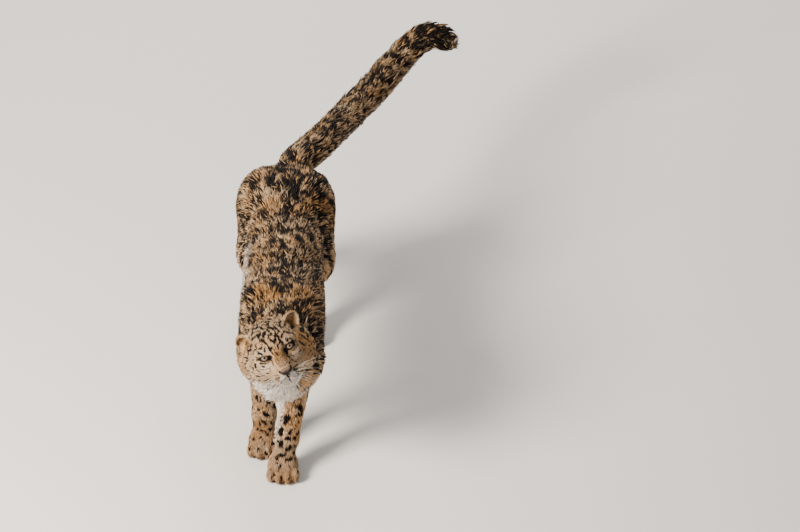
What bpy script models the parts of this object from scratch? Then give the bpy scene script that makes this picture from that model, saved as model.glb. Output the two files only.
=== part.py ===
"""Snow leopard at life size, walking with its head raised and tilted and its tail swept back to its left.

The animal faces -Y, +X is its left and +Z is up. The origin is the middle of the left forepaw's flat
sole. The body is a set of named masses, which are fused, faired into one soft surface and then parted
by thin cuts into head, neck, torso, legs and lengths of tail. Units are metres.
"""

import math

import bmesh
import bpy
import numpy as np
from mathutils import Matrix, Vector

# Gap between neighbouring nodes, and half of it
GAP = 0.0003
HALF_GAP = GAP / 2

# Head: place of the braincase, tilt of the face and size of its parts
HEAD_CENTRE = Vector((-0.015, -0.055, 0.463))
GAZE_RISE = math.radians(35)
HEAD_ROLL = math.radians(26.5)
HEAD_NOD = math.radians(20)
EYE_SPREAD = 0.0360
EYE_FORWARD = 0.0610
EYE_HEIGHT = 0.012
EYE_RADIUS = 0.0148
LID_THICKNESS = 0.0026
EAR_FORWARD = -0.024
EAR_SPREAD = 0.066
EAR_HEIGHT = 0.038
EAR_WIDTH = 0.0245
EAR_LENGTH = 0.030
EAR_DEPTH = 0.017
EAR_WALL = 0.0045
EAR_YAW = math.radians(24)
EAR_LEAN = math.radians(-36)
EYE_YAW = math.radians(12)
EYE_SLANT = math.radians(12)
LID_WIDTH = 0.0265
LID_OPENING = 0.0150
NOSE_FORWARD = 0.1255
NOSE_HEIGHT = -0.0290
NOSE_RADII = (0.0085, 0.0165, 0.0100)
MOUTH_GROOVE = 0.0019
# The mouth line on one side, in the head's own directions: forward, left and up
MOUTH_LINE = (
    (0.136, 0.0, -0.040),
    (0.130, 0.0, -0.052),
    (0.124, 0.010, -0.058),
    (0.110, 0.024, -0.060),
    (0.092, 0.034, -0.056),
    (0.076, 0.042, -0.050),
)

# Trunk, on the mid plane
WITHERS = Vector((0, 0.14, 0.424))
CHEST = Vector((0, 0.045, 0.345))
RIBS = Vector((0, 0.27, 0.374))
LOIN = Vector((0, 0.49, 0.388))
RUMP = Vector((0, 0.665, 0.426))
NECK_ROOT = Vector((0, 0.125, 0.420))
NECK_TOP = Vector((-0.016, -0.008, 0.440))

# Joints of each leg, from the body down to the middle of the sole
FORELEGS = {
    "left": {
        "blade": (0.052, 0.145, 0.458),
        "shoulder": (0.044, 0.030, 0.362),
        "elbow": (0.052, 0.150, 0.282),
        "wrist": (0.010, 0.046, 0.092),
        "sole": (0.000, 0.000, 0.0),
    },
    "right": {
        "blade": (-0.052, 0.160, 0.462),
        "shoulder": (-0.052, 0.055, 0.362),
        "elbow": (-0.060, 0.186, 0.282),
        "wrist": (-0.052, 0.158, 0.092),
        "sole": (-0.054, 0.112, 0.0),
    },
}
HIND_LEGS = {
    "left": {
        "hip": (0.074, 0.690, 0.400),
        "knee": (0.080, 0.590, 0.300),
        "hock": (0.074, 0.735, 0.172),
        "ankle": (0.068, 0.668, 0.052),
        "sole": (0.066, 0.630, 0.0),
    },
    "right": {
        "hip": (-0.068, 0.695, 0.400),
        "knee": (-0.076, 0.640, 0.285),
        "hock": (-0.074, 0.868, 0.205),
        "ankle": (-0.070, 0.832, 0.058),
        "sole": (-0.066, 0.800, 0.0),
    },
}

# Tail: points that its middle line passes, from the rump to the tip, and its radii with the fur
TAIL_POINTS = (
    (0.008, 0.740, 0.448),
    (0.030, 0.820, 0.462),
    (0.089, 0.929, 0.452),
    (0.149, 1.078, 0.425),
    (0.196, 1.193, 0.405),
    (0.243, 1.287, 0.400),
    (0.282, 1.353, 0.410),
    (0.316, 1.395, 0.430),
    (0.353, 1.423, 0.455),
    (0.395, 1.432, 0.480),
    (0.440, 1.412, 0.484),
)
TAIL_ROOT_RADIUS = 0.046
TAIL_RADIUS = 0.043
TAIL_TIP_RADIUS = 0.036
TAIL_STATIONS = 34
TAIL_CUTS = (0.16, 0.42, 0.66, 0.84)

# Cuts between the nodes
HEAD_CUT = -0.048
NECK_CUT = Vector((0, 0.040, 0.42))
NECK_SLOPE = Vector((0, -0.93, 0.36))
FOREARM_CUT = 0.33
SHANK_CUT = 0.58
# Slanting planes that part the legs from the trunk: spread and height of a low and of a high point
SHOULDER_PLANE = ((-0.014, 0.210), (0.058, 0.420))
HIP_PLANE = ((0.004, 0.220), (0.062, 0.430))
SHOULDER_FRONT = 0.046
SHOULDER_REAR = 0.085
THIGH_FRONT = 0.150
THIGH_REAR = 0.200
THIGH_REACH = 0.24
SCRAP_FACES = 40

# Paws
FOREPAW_WIDTH = 0.094
FOREPAW_LENGTH = 0.112
HINDPAW_WIDTH = 0.084
HINDPAW_LENGTH = 0.110

# Long coat: depth of the core below the tips, how far a lock's root is sunk into it, and its stations
CORE_DEPTH = 0.011
LOCK_SINK = 0.006
LOCK_STATIONS = 3
LOCK_WIDTHS = (0.62, 1.0, 0.74)
LOCK_SEED = 11
TAIL_RINGS = 11
TAIL_ROUND = 4

# Fineness of the fused surface and of the finished solids
BODY_VOXEL = 0.006
HEAD_VOXEL = 0.003
BODY_TRIANGLES = 3500
HEAD_TRIANGLES = 1700

COLOURS = {
    "fur": (0.62, 0.47, 0.30, 1.0),
    "eye": (0.42, 0.40, 0.28, 1.0),
    "nose": (0.30, 0.17, 0.14, 1.0),
}


def clear_scene():
    """Removes the objects that the scene starts with."""
    for thing in list(bpy.data.objects):
        bpy.data.objects.remove(thing, do_unlink=True)


def head_axes():
    """Forward, left and up directions of the head, which is raised, rolled and then nods a little."""
    raised = Vector((0, -math.cos(GAZE_RISE), math.sin(GAZE_RISE)))
    over = Vector((0, math.sin(GAZE_RISE), math.cos(GAZE_RISE)))
    across = Vector((1, 0, 0))
    left = across * math.cos(HEAD_ROLL) + over * math.sin(HEAD_ROLL)
    rolled = over * math.cos(HEAD_ROLL) - across * math.sin(HEAD_ROLL)
    forward = raised * math.cos(HEAD_NOD) - rolled * math.sin(HEAD_NOD)
    return forward, left, rolled * math.cos(HEAD_NOD) + raised * math.sin(HEAD_NOD)


HEAD_AXES = head_axes()


def in_head(forward, left, up):
    """The place of a point that is given in the head's own directions."""
    f, l, u = HEAD_AXES
    return HEAD_CENTRE + f * forward + l * left + u * up


def rows(axes):
    """Three directions as the rows of an array."""
    return np.array([list(axis) for axis in axes])


LEVEL_AXES = rows((Vector((1, 0, 0)), Vector((0, 1, 0)), Vector((0, 0, 1))))


def ball(centre, radii, blend, axes=LEVEL_AXES):
    """An ellipsoid with its radii along the given axes, which melts into the rest over the blend width."""
    return {"centre": np.array(centre), "radii": np.array(radii), "axes": axes, "blend": blend}


def limb(start, end, start_radius, end_radius, blend, flat=1.0):
    """A round limb that tapers from start to end. Below 1, flat makes it narrower from side to side."""
    return {
        "start": np.array(start),
        "end": np.array(end),
        "start_radius": start_radius,
        "end_radius": end_radius,
        "flat": flat,
        "blend": blend,
    }


def group(masses, blend):
    """Masses that melt together first and then into the rest over the blend width."""
    return {"group": masses, "blend": blend}


def hollow(mass):
    """The same mass, but cut away from the ones before it."""
    return {**mass, "hollow": True}


def ball_distance(points, mass):
    """Distance from each point to an ellipsoid, negative inside it."""
    local = (points - mass["centre"]) @ mass["axes"].T
    reach = np.linalg.norm(local / mass["radii"], axis=1)
    slope = np.linalg.norm(local / mass["radii"] ** 2, axis=1)
    return reach * (reach - 1) / np.maximum(slope, 1e-9)


def limb_distance(points, mass):
    """Distance from each point to a tapered limb, negative inside it."""
    run = mass["end"] - mass["start"]
    share = np.clip((points - mass["start"]) @ run / (run @ run), 0, 1)
    away = points - mass["start"] - share[:, None] * run
    away[:, 0] /= mass["flat"]
    radius = mass["start_radius"] + (mass["end_radius"] - mass["start_radius"]) * share
    return np.linalg.norm(away, axis=1) - radius


def group_distance(points, mass):
    """Distance from each point to a group of masses that melt together first."""
    return distance(points, mass["group"])


def distance(points, masses):
    """Distance from each point to the masses melted together, negative inside them."""
    total = np.full(len(points), 1.0)
    for mass in masses:
        measure = next(MEASURES[key] for key in MEASURES if key in mass)
        single = measure(points, mass)
        sign = -1 if "hollow" in mass else 1
        total = sign * total
        overlap = np.maximum(mass["blend"] - np.abs(total - single), 0) / mass["blend"]
        total = sign * (np.minimum(total, single) - overlap * overlap * mass["blend"] / 4)
    return total


MEASURES = {"radii": ball_distance, "start": limb_distance, "group": group_distance}


def single_masses(masses):
    """The masses with the groups opened up."""
    opened = []
    for mass in masses:
        opened += single_masses(mass["group"]) if "group" in mass else [mass]
    return opened


def slope(points, masses):
    """Distance at each point, and the direction in which it grows."""
    step = 0.0005
    here = distance(points, masses)
    change = [distance(points + step * axis, masses) - here for axis in LEVEL_AXES]
    grown = np.stack(change, axis=1)
    return here, grown / np.maximum(np.linalg.norm(grown, axis=1), 1e-9)[:, None]


def trunk_masses():
    """Chest, ribs, loin and rump."""
    return [
        ball(RIBS, (0.116, 0.205, 0.126), 0.06),
        ball(CHEST, (0.088, 0.100, 0.104), 0.06),
        ball(LOIN, (0.108, 0.190, 0.108), 0.07),
        ball(RUMP, (0.104, 0.130, 0.098), 0.06),
        ball(WITHERS, (0.074, 0.125, 0.078), 0.07),
        ball((0, 0.40, 0.312), (0.080, 0.240, 0.066), 0.05),
    ]


def neck_masses():
    """Neck and the ruff of the throat."""
    return [
        limb(NECK_ROOT, NECK_TOP, 0.086, 0.078, 0.06),
        ball((-0.006, -0.004, 0.380), (0.074, 0.066, 0.084), 0.05),
    ]


def foreleg_masses(joint):
    """Shoulder and upper arm, and the forearm and paw, which stay apart from the other leg."""
    forearm = [limb(joint["elbow"], joint["wrist"], 0.040, 0.0315, 0.03)]
    return [
        limb(joint["blade"], joint["shoulder"], 0.045, 0.050, 0.06),
        limb(joint["shoulder"], joint["elbow"], 0.050, 0.043, 0.05),
        group(forearm + paw_masses(joint["sole"], joint["wrist"], FOREPAW_WIDTH, FOREPAW_LENGTH), 0.025),
    ]


def hind_leg_masses(joint):
    """Thigh, shank and the long hind foot."""
    hip, knee = Vector(joint["hip"]), Vector(joint["knee"])
    shank = [
        limb(knee, joint["hock"], 0.053, 0.033, 0.05),
        limb(joint["hock"], joint["ankle"], 0.032, 0.034, 0.03),
    ]
    return [
        limb(hip, knee, 0.094, 0.060, 0.07, 0.66),
        limb(hip + Vector((0, 0.045, -0.06)), knee, 0.064, 0.052, 0.06, 0.75),
        group(shank + paw_masses(joint["sole"], joint["ankle"], HINDPAW_WIDTH, HINDPAW_LENGTH), 0.035),
    ]


def paw_masses(sole, ankle, width, length):
    """A broad paw with four toes, standing on its sole."""
    sole, ankle = Vector(sole), Vector(ankle)
    masses = [
        limb(ankle, sole + Vector((0, 0.010, 0.034)), 0.0305, 0.033, 0.02),
        ball(sole + Vector((0, 0.006, 0.026)), (width * 0.45, length * 0.40, 0.032), 0.02),
    ]
    for place, forward in ((-0.36, 0.20), (-0.125, 0.285), (0.125, 0.285), (0.36, 0.20)):
        middle = sole + Vector((place * width, -forward * length, 0.018))
        masses.append(ball(middle, (width * 0.135, length * 0.215, 0.0215), 0.007))
    return masses


def head_masses():
    """Braincase, brow, cheeks, muzzle and jaw, in the head's own directions."""
    axes = rows(HEAD_AXES)
    masses = [
        ball(in_head(-0.005, 0, 0.008), (0.080, 0.068, 0.062), 0.03, axes),
        ball(in_head(0.022, 0, 0.026), (0.050, 0.050, 0.042), 0.03, axes),
        limb(in_head(0.000, 0, -0.050), in_head(0.080, 0, -0.056), 0.044, 0.028, 0.03),
    ]
    for side in (-1, 1):
        masses += [
            ball(in_head(0.022, side * 0.046, -0.012), (0.044, 0.032, 0.030), 0.03, axes),
            ball(in_head(0.002, side * 0.048, -0.036), (0.046, 0.040, 0.044), 0.03, axes),
            ball(in_head(-0.020, side * 0.060, -0.036), (0.036, 0.034, 0.054), 0.03, axes),
            limb(
                in_head(0.036, side * 0.036, -0.024),
                in_head(0.090, side * 0.017, -0.040),
                0.027,
                0.022,
                0.02,
            ),
        ]
    masses += [
        limb(in_head(0.040, 0, 0.018), in_head(0.108, 0, -0.024), 0.028, 0.0185, 0.018),
        ball(in_head(0.097, 0, -0.062), (0.026, 0.026, 0.0175), 0.016, axes),
        ball(in_head(0.117, 0, -0.031), (0.0140, 0.0170, 0.0125), 0.014, axes),
    ]
    for side in (-1, 1):
        masses += [
            ball(in_head(0.047, side * 0.037, 0.025), (0.024, 0.024, 0.014), 0.016, axes),
            hollow(ball(in_head(0.082, side * 0.035, 0.009), (0.013, 0.014, 0.010), 0.016, axes)),
            ball(in_head(0.104, side * 0.0205, -0.047), (0.0245, 0.0230, 0.0180), 0.012, axes),
            ball(eye_centre(side), [EYE_RADIUS + LID_THICKNESS] * 3, 0.008, axes),
        ]
    return masses


def eye_centre(side):
    """The middle of an eyeball. Side is 1 on the animal's left and -1 on its right."""
    return in_head(EYE_FORWARD, side * EYE_SPREAD, EYE_HEIGHT)


def smooth_line(points, count):
    """Evenly spaced points on a smooth curve through the given ones."""
    knots = [Vector(p) for p in points]
    knots = [knots[0] * 2 - knots[1], *knots, knots[-1] * 2 - knots[-2]]
    fine = []
    for i in range(1, len(knots) - 2):
        a, b, c, d = knots[i - 1 : i + 3]
        for step in range(24):
            t = step / 24
            fine.append(
                (b * 2 + (c - a) * t + (a * 2 - b * 5 + c * 4 - d) * t**2 + (b * 3 - a - c * 3 + d) * t**3) / 2
            )
    fine.append(knots[-2])
    fine = np.array(fine)
    run = np.concatenate([[0], np.cumsum(np.linalg.norm(np.diff(fine, axis=0), axis=1))])
    even = np.linspace(0, run[-1], count)
    return np.stack([np.interp(even, run, fine[:, k]) for k in range(3)], axis=1)


def tail_radius(share):
    """Radius of the tail with its fur, at a share of its length from root to tip."""
    swell = TAIL_ROOT_RADIUS + (TAIL_RADIUS - TAIL_ROOT_RADIUS) * min(share / 0.3, 1)
    return swell + (TAIL_TIP_RADIUS - TAIL_RADIUS) * max(share - 0.75, 0) / 0.25


def tail_masses():
    """The tail as a chain of short limbs."""
    line = smooth_line(TAIL_POINTS, TAIL_STATIONS)
    masses = []
    for i in range(len(line) - 1):
        radii = [tail_radius((i + k) / (len(line) - 1)) for k in (0, 1)]
        masses.append(limb(line[i], line[i + 1], *radii, 0.012 if i else 0.04))
    return masses


def body_masses():
    """Everything from the neck to the tail's tip."""
    masses = trunk_masses() + neck_masses()
    for joint in FORELEGS.values():
        masses += foreleg_masses(joint)
    for joint in HIND_LEGS.values():
        masses += hind_leg_masses(joint)
    return masses + tail_masses()


def soft_step(values, low, high):
    """Rises smoothly from 0 at low to 1 at high."""
    share = np.clip((values - low) / (high - low), 0, 1)
    return share * share * (3 - 2 * share)


def lock_zones():
    """Balls that hold the cheeks, throat and belly, where the coat stands in locks."""
    axes = rows(HEAD_AXES)
    cheeks = [ball(in_head(-0.012, side * 0.066, -0.042), (0.050, 0.042, 0.056), 1, axes) for side in (-1, 1)]
    throat = ball((-0.004, -0.010, 0.345), (0.105, 0.085, 0.100), 1)
    belly = ball((0, 0.380, 0.235), (0.130, 0.300, 0.070), 1)
    return [*cheeks, throat, belly]


def core_depth(points):
    """How far the core lies below the coat's outline at each point."""
    share = soft_step(points[:, 1], 0.80, 0.88) * soft_step(points[:, 2], 0.30, 0.33)
    for zone in lock_zones():
        reach = np.linalg.norm((points - zone["centre"]) @ zone["axes"].T / zone["radii"], axis=1)
        share = np.maximum(share, 1 - soft_step(reach, 0.75, 1.0))
    return share * CORE_DEPTH


def on_level(points, masses, level):
    """The points slid to where the distance to the masses is the level, and the outward directions there."""
    for _ in range(6):
        away, outward = slope(points, masses)
        points = points + (level - away)[:, None] * outward
    return points, outward


def lock(name, line, outward, width, thickness, collection):
    """A flat tapered lock with a ridge, from its root along the stations of its line to a fine tip."""
    shape = bmesh.new()
    rings = []
    for i, share in enumerate(LOCK_WIDTHS):
        ahead = Vector(line[i + 1] - line[i])
        up = Vector(outward[i])
        aside = ahead.cross(up).normalized() * width * share / 2
        raised = up * thickness * share
        middle = Vector(line[i])
        corners = (middle + aside, middle + raised * 0.6, middle - aside, middle - raised * 0.4)
        rings.append([shape.verts.new(corner) for corner in corners])
    tip = shape.verts.new(line[-1])
    shape.faces.new(rings[0])
    for ring, following in zip(rings, rings[1:]):
        for k in range(4):
            shape.faces.new((ring[k], following[k], following[k - 3], ring[k - 3]))
    for k in range(4):
        shape.faces.new((rings[-1][k], tip, rings[-1][k - 3]))
    bmesh.ops.triangulate(shape, faces=shape.faces)
    bmesh.ops.recalc_face_normals(shape, faces=shape.faces)
    mesh = bpy.data.meshes.new(name)
    shape.to_mesh(mesh)
    shape.free()
    return new_object(name, mesh, collection)


def grow_locks(seeds, masses, draw, collection):
    """Grows a lock from each seed: a place near the skin, the lie of the coat, a length and a width."""
    places = np.array([list(place) for place, _, _, _ in seeds])
    lies = np.array([list(Vector(lie).normalized()) for _, lie, _, _ in seeds])
    lies += draw.normal(0, 0.10, lies.shape)
    lengths = np.array([length for _, _, length, _ in seeds]) * draw.uniform(0.85, 1.15, len(seeds))
    widths = np.array([width for _, _, _, width in seeds]) * draw.uniform(0.85, 1.15, len(seeds))
    line, outward = [], []
    for station in range(LOCK_STATIONS + 1):
        sunk = (CORE_DEPTH + LOCK_SINK) * (1 - (station / LOCK_STATIONS) ** 0.75)
        places, normals = on_level(places, masses, -sunk)
        line.append(places)
        outward.append(normals)
        along = lies - normals * np.sum(lies * normals, axis=1)[:, None]
        along /= np.linalg.norm(along, axis=1)[:, None]
        places = places + along * (lengths / LOCK_STATIONS)[:, None]
    for i in range(len(seeds)):
        stations = [place[i] for place in line]
        lock(f"lock_{i}", stations, [up[i] for up in outward], widths[i], widths[i] * 0.26, collection)


def tail_seeds():
    """Seeds of the tail's locks, in staggered rings that lie towards its tip."""
    line = smooth_line(TAIL_POINTS, TAIL_STATIONS)
    seeds = []
    for ring in range(TAIL_RINGS):
        spot = 2.5 + ring * (TAIL_STATIONS - 6.5) / (TAIL_RINGS - 1)
        i = int(spot)
        middle = Vector(line[i]).lerp(Vector(line[i + 1]), spot - i)
        along = Vector(line[i + 1] - line[i]).normalized()
        side = along.cross(Vector((0, 0, 1))).normalized()
        over = side.cross(along)
        for k in range(TAIL_ROUND):
            turn = math.tau * (k + ring % 2 / 2) / TAIL_ROUND
            away = side * math.cos(turn) + over * math.sin(turn)
            seeds.append((middle + away * (TAIL_RADIUS - CORE_DEPTH), along, 0.096, 0.056))
    return seeds


def throat_seeds():
    """Seeds of the bib's locks below the head, which hang down and a little back."""
    seeds = []
    for row in range(4):
        height = 0.395 - row * 0.036
        for k in range(3 + row % 2):
            across = (k - (2 + row % 2) / 2) * 0.044
            seeds.append(((across, -0.070 + row * 0.012, height), (across, 0.1, -1), 0.062, 0.042))
    return seeds


def belly_seeds():
    """Seeds of the fringe below the trunk, which lies back and down."""
    seeds = []
    for row in range(7):
        for side in (-1, 0, 1):
            across = side * 0.072 + (row % 2 - 0.5) * 0.024
            seeds.append(((across, 0.170 + row * 0.064, 0.255), (across * 2, 0.9, -0.35), 0.080, 0.052))
    return seeds


def cheek_seeds():
    """Seeds of the locks on the cheeks, which lie back, down and outwards from the face."""
    f, l, u = HEAD_AXES
    seeds = []
    for side in (-1, 1):
        for row, (forward, count) in enumerate(((0.020, 3), (-0.008, 4))):
            for k in range(count):
                turn = math.radians(8 - 88 * (k + 0.5 * row) / count)
                away = l * side * math.cos(turn) + u * math.sin(turn)
                place = in_head(forward, 0, -0.036) + away * 0.070
                seeds.append((place, away * 0.9 - f * 0.7 - u * 0.5, 0.048, 0.032))
    return seeds


def clothe(thing, name, seeds, masses, draw, cutters):
    """Joins a set of locks to an object."""
    folder = bpy.data.collections.new(name)
    cutters.children.link(folder)
    grow_locks(seeds, masses, draw, folder)
    combine(thing, folder, "UNION")
    remove(*list(folder.objects))
    return keep_largest(thing)


def add_ball(mesh, mass):
    """Adds an ellipsoid to the mesh."""
    turn = Matrix([list(axis) for axis in mass["axes"]]).transposed().to_4x4()
    scale = Matrix.Diagonal((*mass["radii"], 1))
    place = Matrix.Translation(Vector(mass["centre"])) @ turn @ scale
    bmesh.ops.create_uvsphere(mesh, u_segments=20, v_segments=12, radius=1, matrix=place)


def add_limb(mesh, mass):
    """Adds a tapered limb with round ends to the mesh."""
    start, end = Vector(mass["start"]), Vector(mass["end"])
    squeeze = Matrix.Diagonal((mass["flat"], 1, 1, 1))
    middle = Matrix.Translation((start + end) / 2)
    turn = (end - start).to_track_quat("Z", "Y").to_matrix().to_4x4()
    bmesh.ops.create_cone(
        mesh,
        cap_ends=True,
        segments=20,
        radius1=mass["start_radius"],
        radius2=mass["end_radius"],
        depth=(end - start).length,
        matrix=middle @ squeeze @ turn,
    )
    for centre, radius in ((start, mass["start_radius"]), (end, mass["end_radius"])):
        place = Matrix.Translation(centre) @ squeeze
        bmesh.ops.create_uvsphere(mesh, u_segments=20, v_segments=12, radius=radius, matrix=place)


def new_object(name, mesh, collection):
    """Links a new object that holds the mesh."""
    made = bpy.data.objects.new(name, mesh)
    collection.objects.link(made)
    return made


def applied(thing):
    """Replaces an object's mesh by what its modifiers make of it."""
    graph = bpy.context.evaluated_depsgraph_get()
    graph.update()
    mesh = bpy.data.meshes.new_from_object(thing.evaluated_get(graph))
    thing.modifiers.clear()
    thing.data = mesh
    return thing


def mesh_arrays(thing):
    """Points and edges of an object's mesh."""
    points = np.empty(len(thing.data.vertices) * 3)
    thing.data.vertices.foreach_get("co", points)
    edges = np.empty(len(thing.data.edges) * 2, np.int64)
    thing.data.edges.foreach_get("vertices", edges)
    return points.reshape(-1, 3), edges.reshape(-1, 2)


def faired(points, edges, strength):
    """Moves each point part of the way to the mean of its neighbours."""
    total = np.zeros_like(points)
    count = np.bincount(edges.ravel(), minlength=len(points))
    for k in range(3):
        total[:, k] = np.bincount(edges[:, 0], points[edges[:, 1], k], len(points))
        total[:, k] += np.bincount(edges[:, 1], points[edges[:, 0], k], len(points))
    return points + strength * (total / np.maximum(count, 1)[:, None] - points)


def fused(name, masses, voxel, triangles, collection, rounds=5):
    """One soft closed surface over all the masses, with about the given number of triangles."""
    rough = bmesh.new()
    for mass in single_masses(masses):
        if "hollow" not in mass:
            (add_ball if "radii" in mass else add_limb)(rough, mass)
    mesh = bpy.data.meshes.new(name)
    rough.to_mesh(mesh)
    rough.free()
    thing = new_object(name, mesh, collection)
    remesh = thing.modifiers.new("fuse", "REMESH")
    remesh.mode = "VOXEL"
    remesh.voxel_size = voxel
    applied(thing)
    points, edges = mesh_arrays(thing)
    for _ in range(rounds):
        points = faired(points, edges, 0.5)
        away, outward = slope(points, masses)
        away = away + core_depth(points)
        points = points - np.clip(away, -0.02, 0.02)[:, None] * outward
    thing.data.vertices.foreach_set("co", points.ravel())
    thing.data.update()
    thin = thing.modifiers.new("thin", "DECIMATE")
    thin.ratio = triangles / (2 * len(thing.data.polygons))
    thin.use_collapse_triangulate = True
    return applied(thing)


def block(name, origin, axes, low, high, grow, collection):
    """A cutter box between two corners that are given along three axes from an origin."""
    mesh = bpy.data.meshes.new(name)
    cube = bmesh.new()
    low = Vector(low) - Vector((grow, grow, grow))
    high = Vector(high) + Vector((grow, grow, grow))
    turn = Matrix([list(axis) for axis in axes]).transposed().to_4x4()
    place = Matrix.Translation(Vector(origin)) @ turn @ Matrix.Translation((low + high) / 2)
    bmesh.ops.create_cube(cube, size=1, matrix=place @ Matrix.Diagonal((*(high - low), 1)))
    bmesh.ops.recalc_face_normals(cube, faces=cube.faces)
    cube.to_mesh(mesh)
    cube.free()
    return as_cutter(new_object(name, mesh, collection))


def as_cutter(thing):
    """Marks an object as a helper that isn't part of the animal."""
    thing.hide_render = True
    thing.display_type = "WIRE"
    return thing


def slab(name, centre, normal, size, collection):
    """A square cutter as thin as the gap, across the normal."""
    along = Vector(normal).normalized()
    first = along.orthogonal().normalized()
    axes = (first, along.cross(first), along)
    reach = Vector((size / 2, size / 2, HALF_GAP))
    return block(name, centre, axes, -reach, reach, 0, collection)


def combine(thing, other, operation, solver="EXACT"):
    """Applies a Boolean between an object and another object or a collection of them."""
    modifier = thing.modifiers.new(operation.lower(), "BOOLEAN")
    modifier.operation = operation
    modifier.solver = solver
    if isinstance(other, bpy.types.Collection):
        modifier.operand_type = "COLLECTION"
        modifier.collection = other
    else:
        modifier.object = other
    return applied(thing)


def remove(*things):
    """Deletes helper objects once they have been used."""
    for thing in things:
        bpy.data.objects.remove(thing, do_unlink=True)


def shells(thing):
    """The closed surfaces of an object, each as a list of face indices."""
    mesh = bmesh.new()
    mesh.from_mesh(thing.data)
    mesh.faces.ensure_lookup_table()
    seen, found = set(), []
    for face in mesh.faces:
        if face.index in seen:
            continue
        shell, todo = [], [face]
        seen.add(face.index)
        while todo:
            here = todo.pop()
            shell.append(here.index)
            for edge in here.edges:
                for other in edge.link_faces:
                    if other.index not in seen:
                        seen.add(other.index)
                        todo.append(other)
        found.append(shell)
    mesh.free()
    return found


def only_faces(thing, keep):
    """Leaves an object with the faces of the given indices."""
    mesh = bmesh.new()
    mesh.from_mesh(thing.data)
    mesh.faces.ensure_lookup_table()
    keep = set(keep)
    bmesh.ops.delete(mesh, geom=[f for f in mesh.faces if f.index not in keep], context="FACES")
    mesh.to_mesh(thing.data)
    mesh.free()


def keep_largest(thing):
    """Leaves an object with its largest closed surface."""
    only_faces(thing, max(shells(thing), key=len))
    return thing


def duplicate(thing, name, collection):
    """A copy of an object with its own mesh."""
    copy = new_object(name, thing.data.copy(), collection)
    copy.matrix_world = thing.matrix_world
    return copy


def swollen(thing, name, amount, collection):
    """A copy of an object whose surface is moved outwards, for cutting a neighbour clear of it."""
    copy = duplicate(thing, name, collection)
    for vertex in copy.data.vertices:
        vertex.co = vertex.co + vertex.normal * amount
    return as_cutter(copy)


def flat_soles(thing):
    """Cuts off all that is below the floor and closes the cut with flat faces."""
    mesh = bmesh.new()
    mesh.from_mesh(thing.data)
    geometry = mesh.verts[:] + mesh.edges[:] + mesh.faces[:]
    bmesh.ops.bisect_plane(mesh, geom=geometry, plane_co=(0, 0, 0), plane_no=(0, 0, -1), clear_outer=True)
    bmesh.ops.holes_fill(mesh, edges=[e for e in mesh.edges if e.is_boundary])
    bmesh.ops.triangulate(mesh, faces=[f for f in mesh.faces if len(f.verts) > 3])
    mesh.to_mesh(thing.data)
    mesh.free()
    return thing


def parting(side, plane):
    """Outward and upward directions of a slanting plane, and a point on it, on one side of the body."""
    (low_spread, low_height), (high_spread, high_height) = plane
    upward = Vector((side * (high_spread - low_spread), 0, high_height - low_height)).normalized()
    outward = Vector((side * upward.z, 0, -side * upward.x))
    return outward, upward, Vector((side * low_spread, 0, low_height))


def foreleg_box(joint):
    """Origin, axes and corners of the box that parts a shoulder and upper arm from the trunk."""
    side = math.copysign(1, joint["elbow"][0])
    outward, upward, on_plane = parting(side, SHOULDER_PLANE)
    origin = Vector(joint["elbow"]).lerp(Vector(joint["wrist"]), FOREARM_CUT)
    inner = outward.dot(on_plane - origin)
    front, rear = joint["shoulder"][1] - SHOULDER_FRONT, joint["elbow"][1] + SHOULDER_REAR
    low = (inner, front - origin.y, 0)
    return origin, (outward, Vector((0, 1, 0)), upward), low, (0.25, rear - origin.y, 0.32)


def hind_leg_box(joint):
    """Origin, axes and corners of the box that parts a thigh from the trunk."""
    side = math.copysign(1, joint["knee"][0])
    outward, _, on_plane = parting(side, HIP_PLANE)
    knee, hock = Vector(joint["knee"]), Vector(joint["hock"])
    origin = knee.lerp(hock, SHANK_CUT)
    down = (hock - knee).normalized() - Vector((0, 0, 1))
    down = (down - outward * down.dot(outward)).normalized()
    forward = down.cross(outward) * side
    inner = outward.dot(on_plane - origin)
    low = (inner, -THIGH_REAR, 0)
    return origin, (outward, forward, -down), low, (0.25, THIGH_FRONT, THIGH_REACH)


def take(body, name, box, collection, cutters):
    """Parts what lies in a box from the body and returns it as an object of its own."""
    piece = duplicate(body, name, collection)
    inner = block("inner", *box, -HALF_GAP, cutters)
    outer = block("outer", *box, HALF_GAP, cutters)
    combine(piece, inner, "INTERSECT")
    combine(body, outer, "DIFFERENCE")
    remove(inner, outer)
    return keep_largest(piece)


def middle_of(mesh, shell):
    """Mean corner of a closed surface."""
    total = Vector((0, 0, 0))
    for index in shell:
        total += mesh.polygons[index].center
    return total / len(shell)


def part_by_slabs(body, slabs, landmarks, collection, cutters):
    """Cuts the body with thin slabs and names each length by the landmark that is nearest to it."""
    folder = bpy.data.collections.new("slabs")
    cutters.children.link(folder)
    for i, (centre, normal, size) in enumerate(slabs):
        slab(f"slab_{i}", centre, normal, size, folder)
    combine(body, folder, "DIFFERENCE")
    remove(*list(folder.objects))
    found = [shell for shell in shells(body) if len(shell) > SCRAP_FACES]
    nodes = {}
    for shell in found:
        middle = middle_of(body.data, shell)
        name = min(landmarks, key=lambda key: (Vector(landmarks[key]) - middle).length)
        if name in nodes:
            raise ValueError(f"two lengths are nearest to {name}: a cut is missing or misplaced")
        nodes[name] = duplicate(body, name, collection)
        only_faces(nodes[name], shell)
    missing = set(landmarks) - set(nodes)
    if missing:
        raise ValueError(f"no length is nearest to {sorted(missing)}")
    remove(body)
    return nodes


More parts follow.
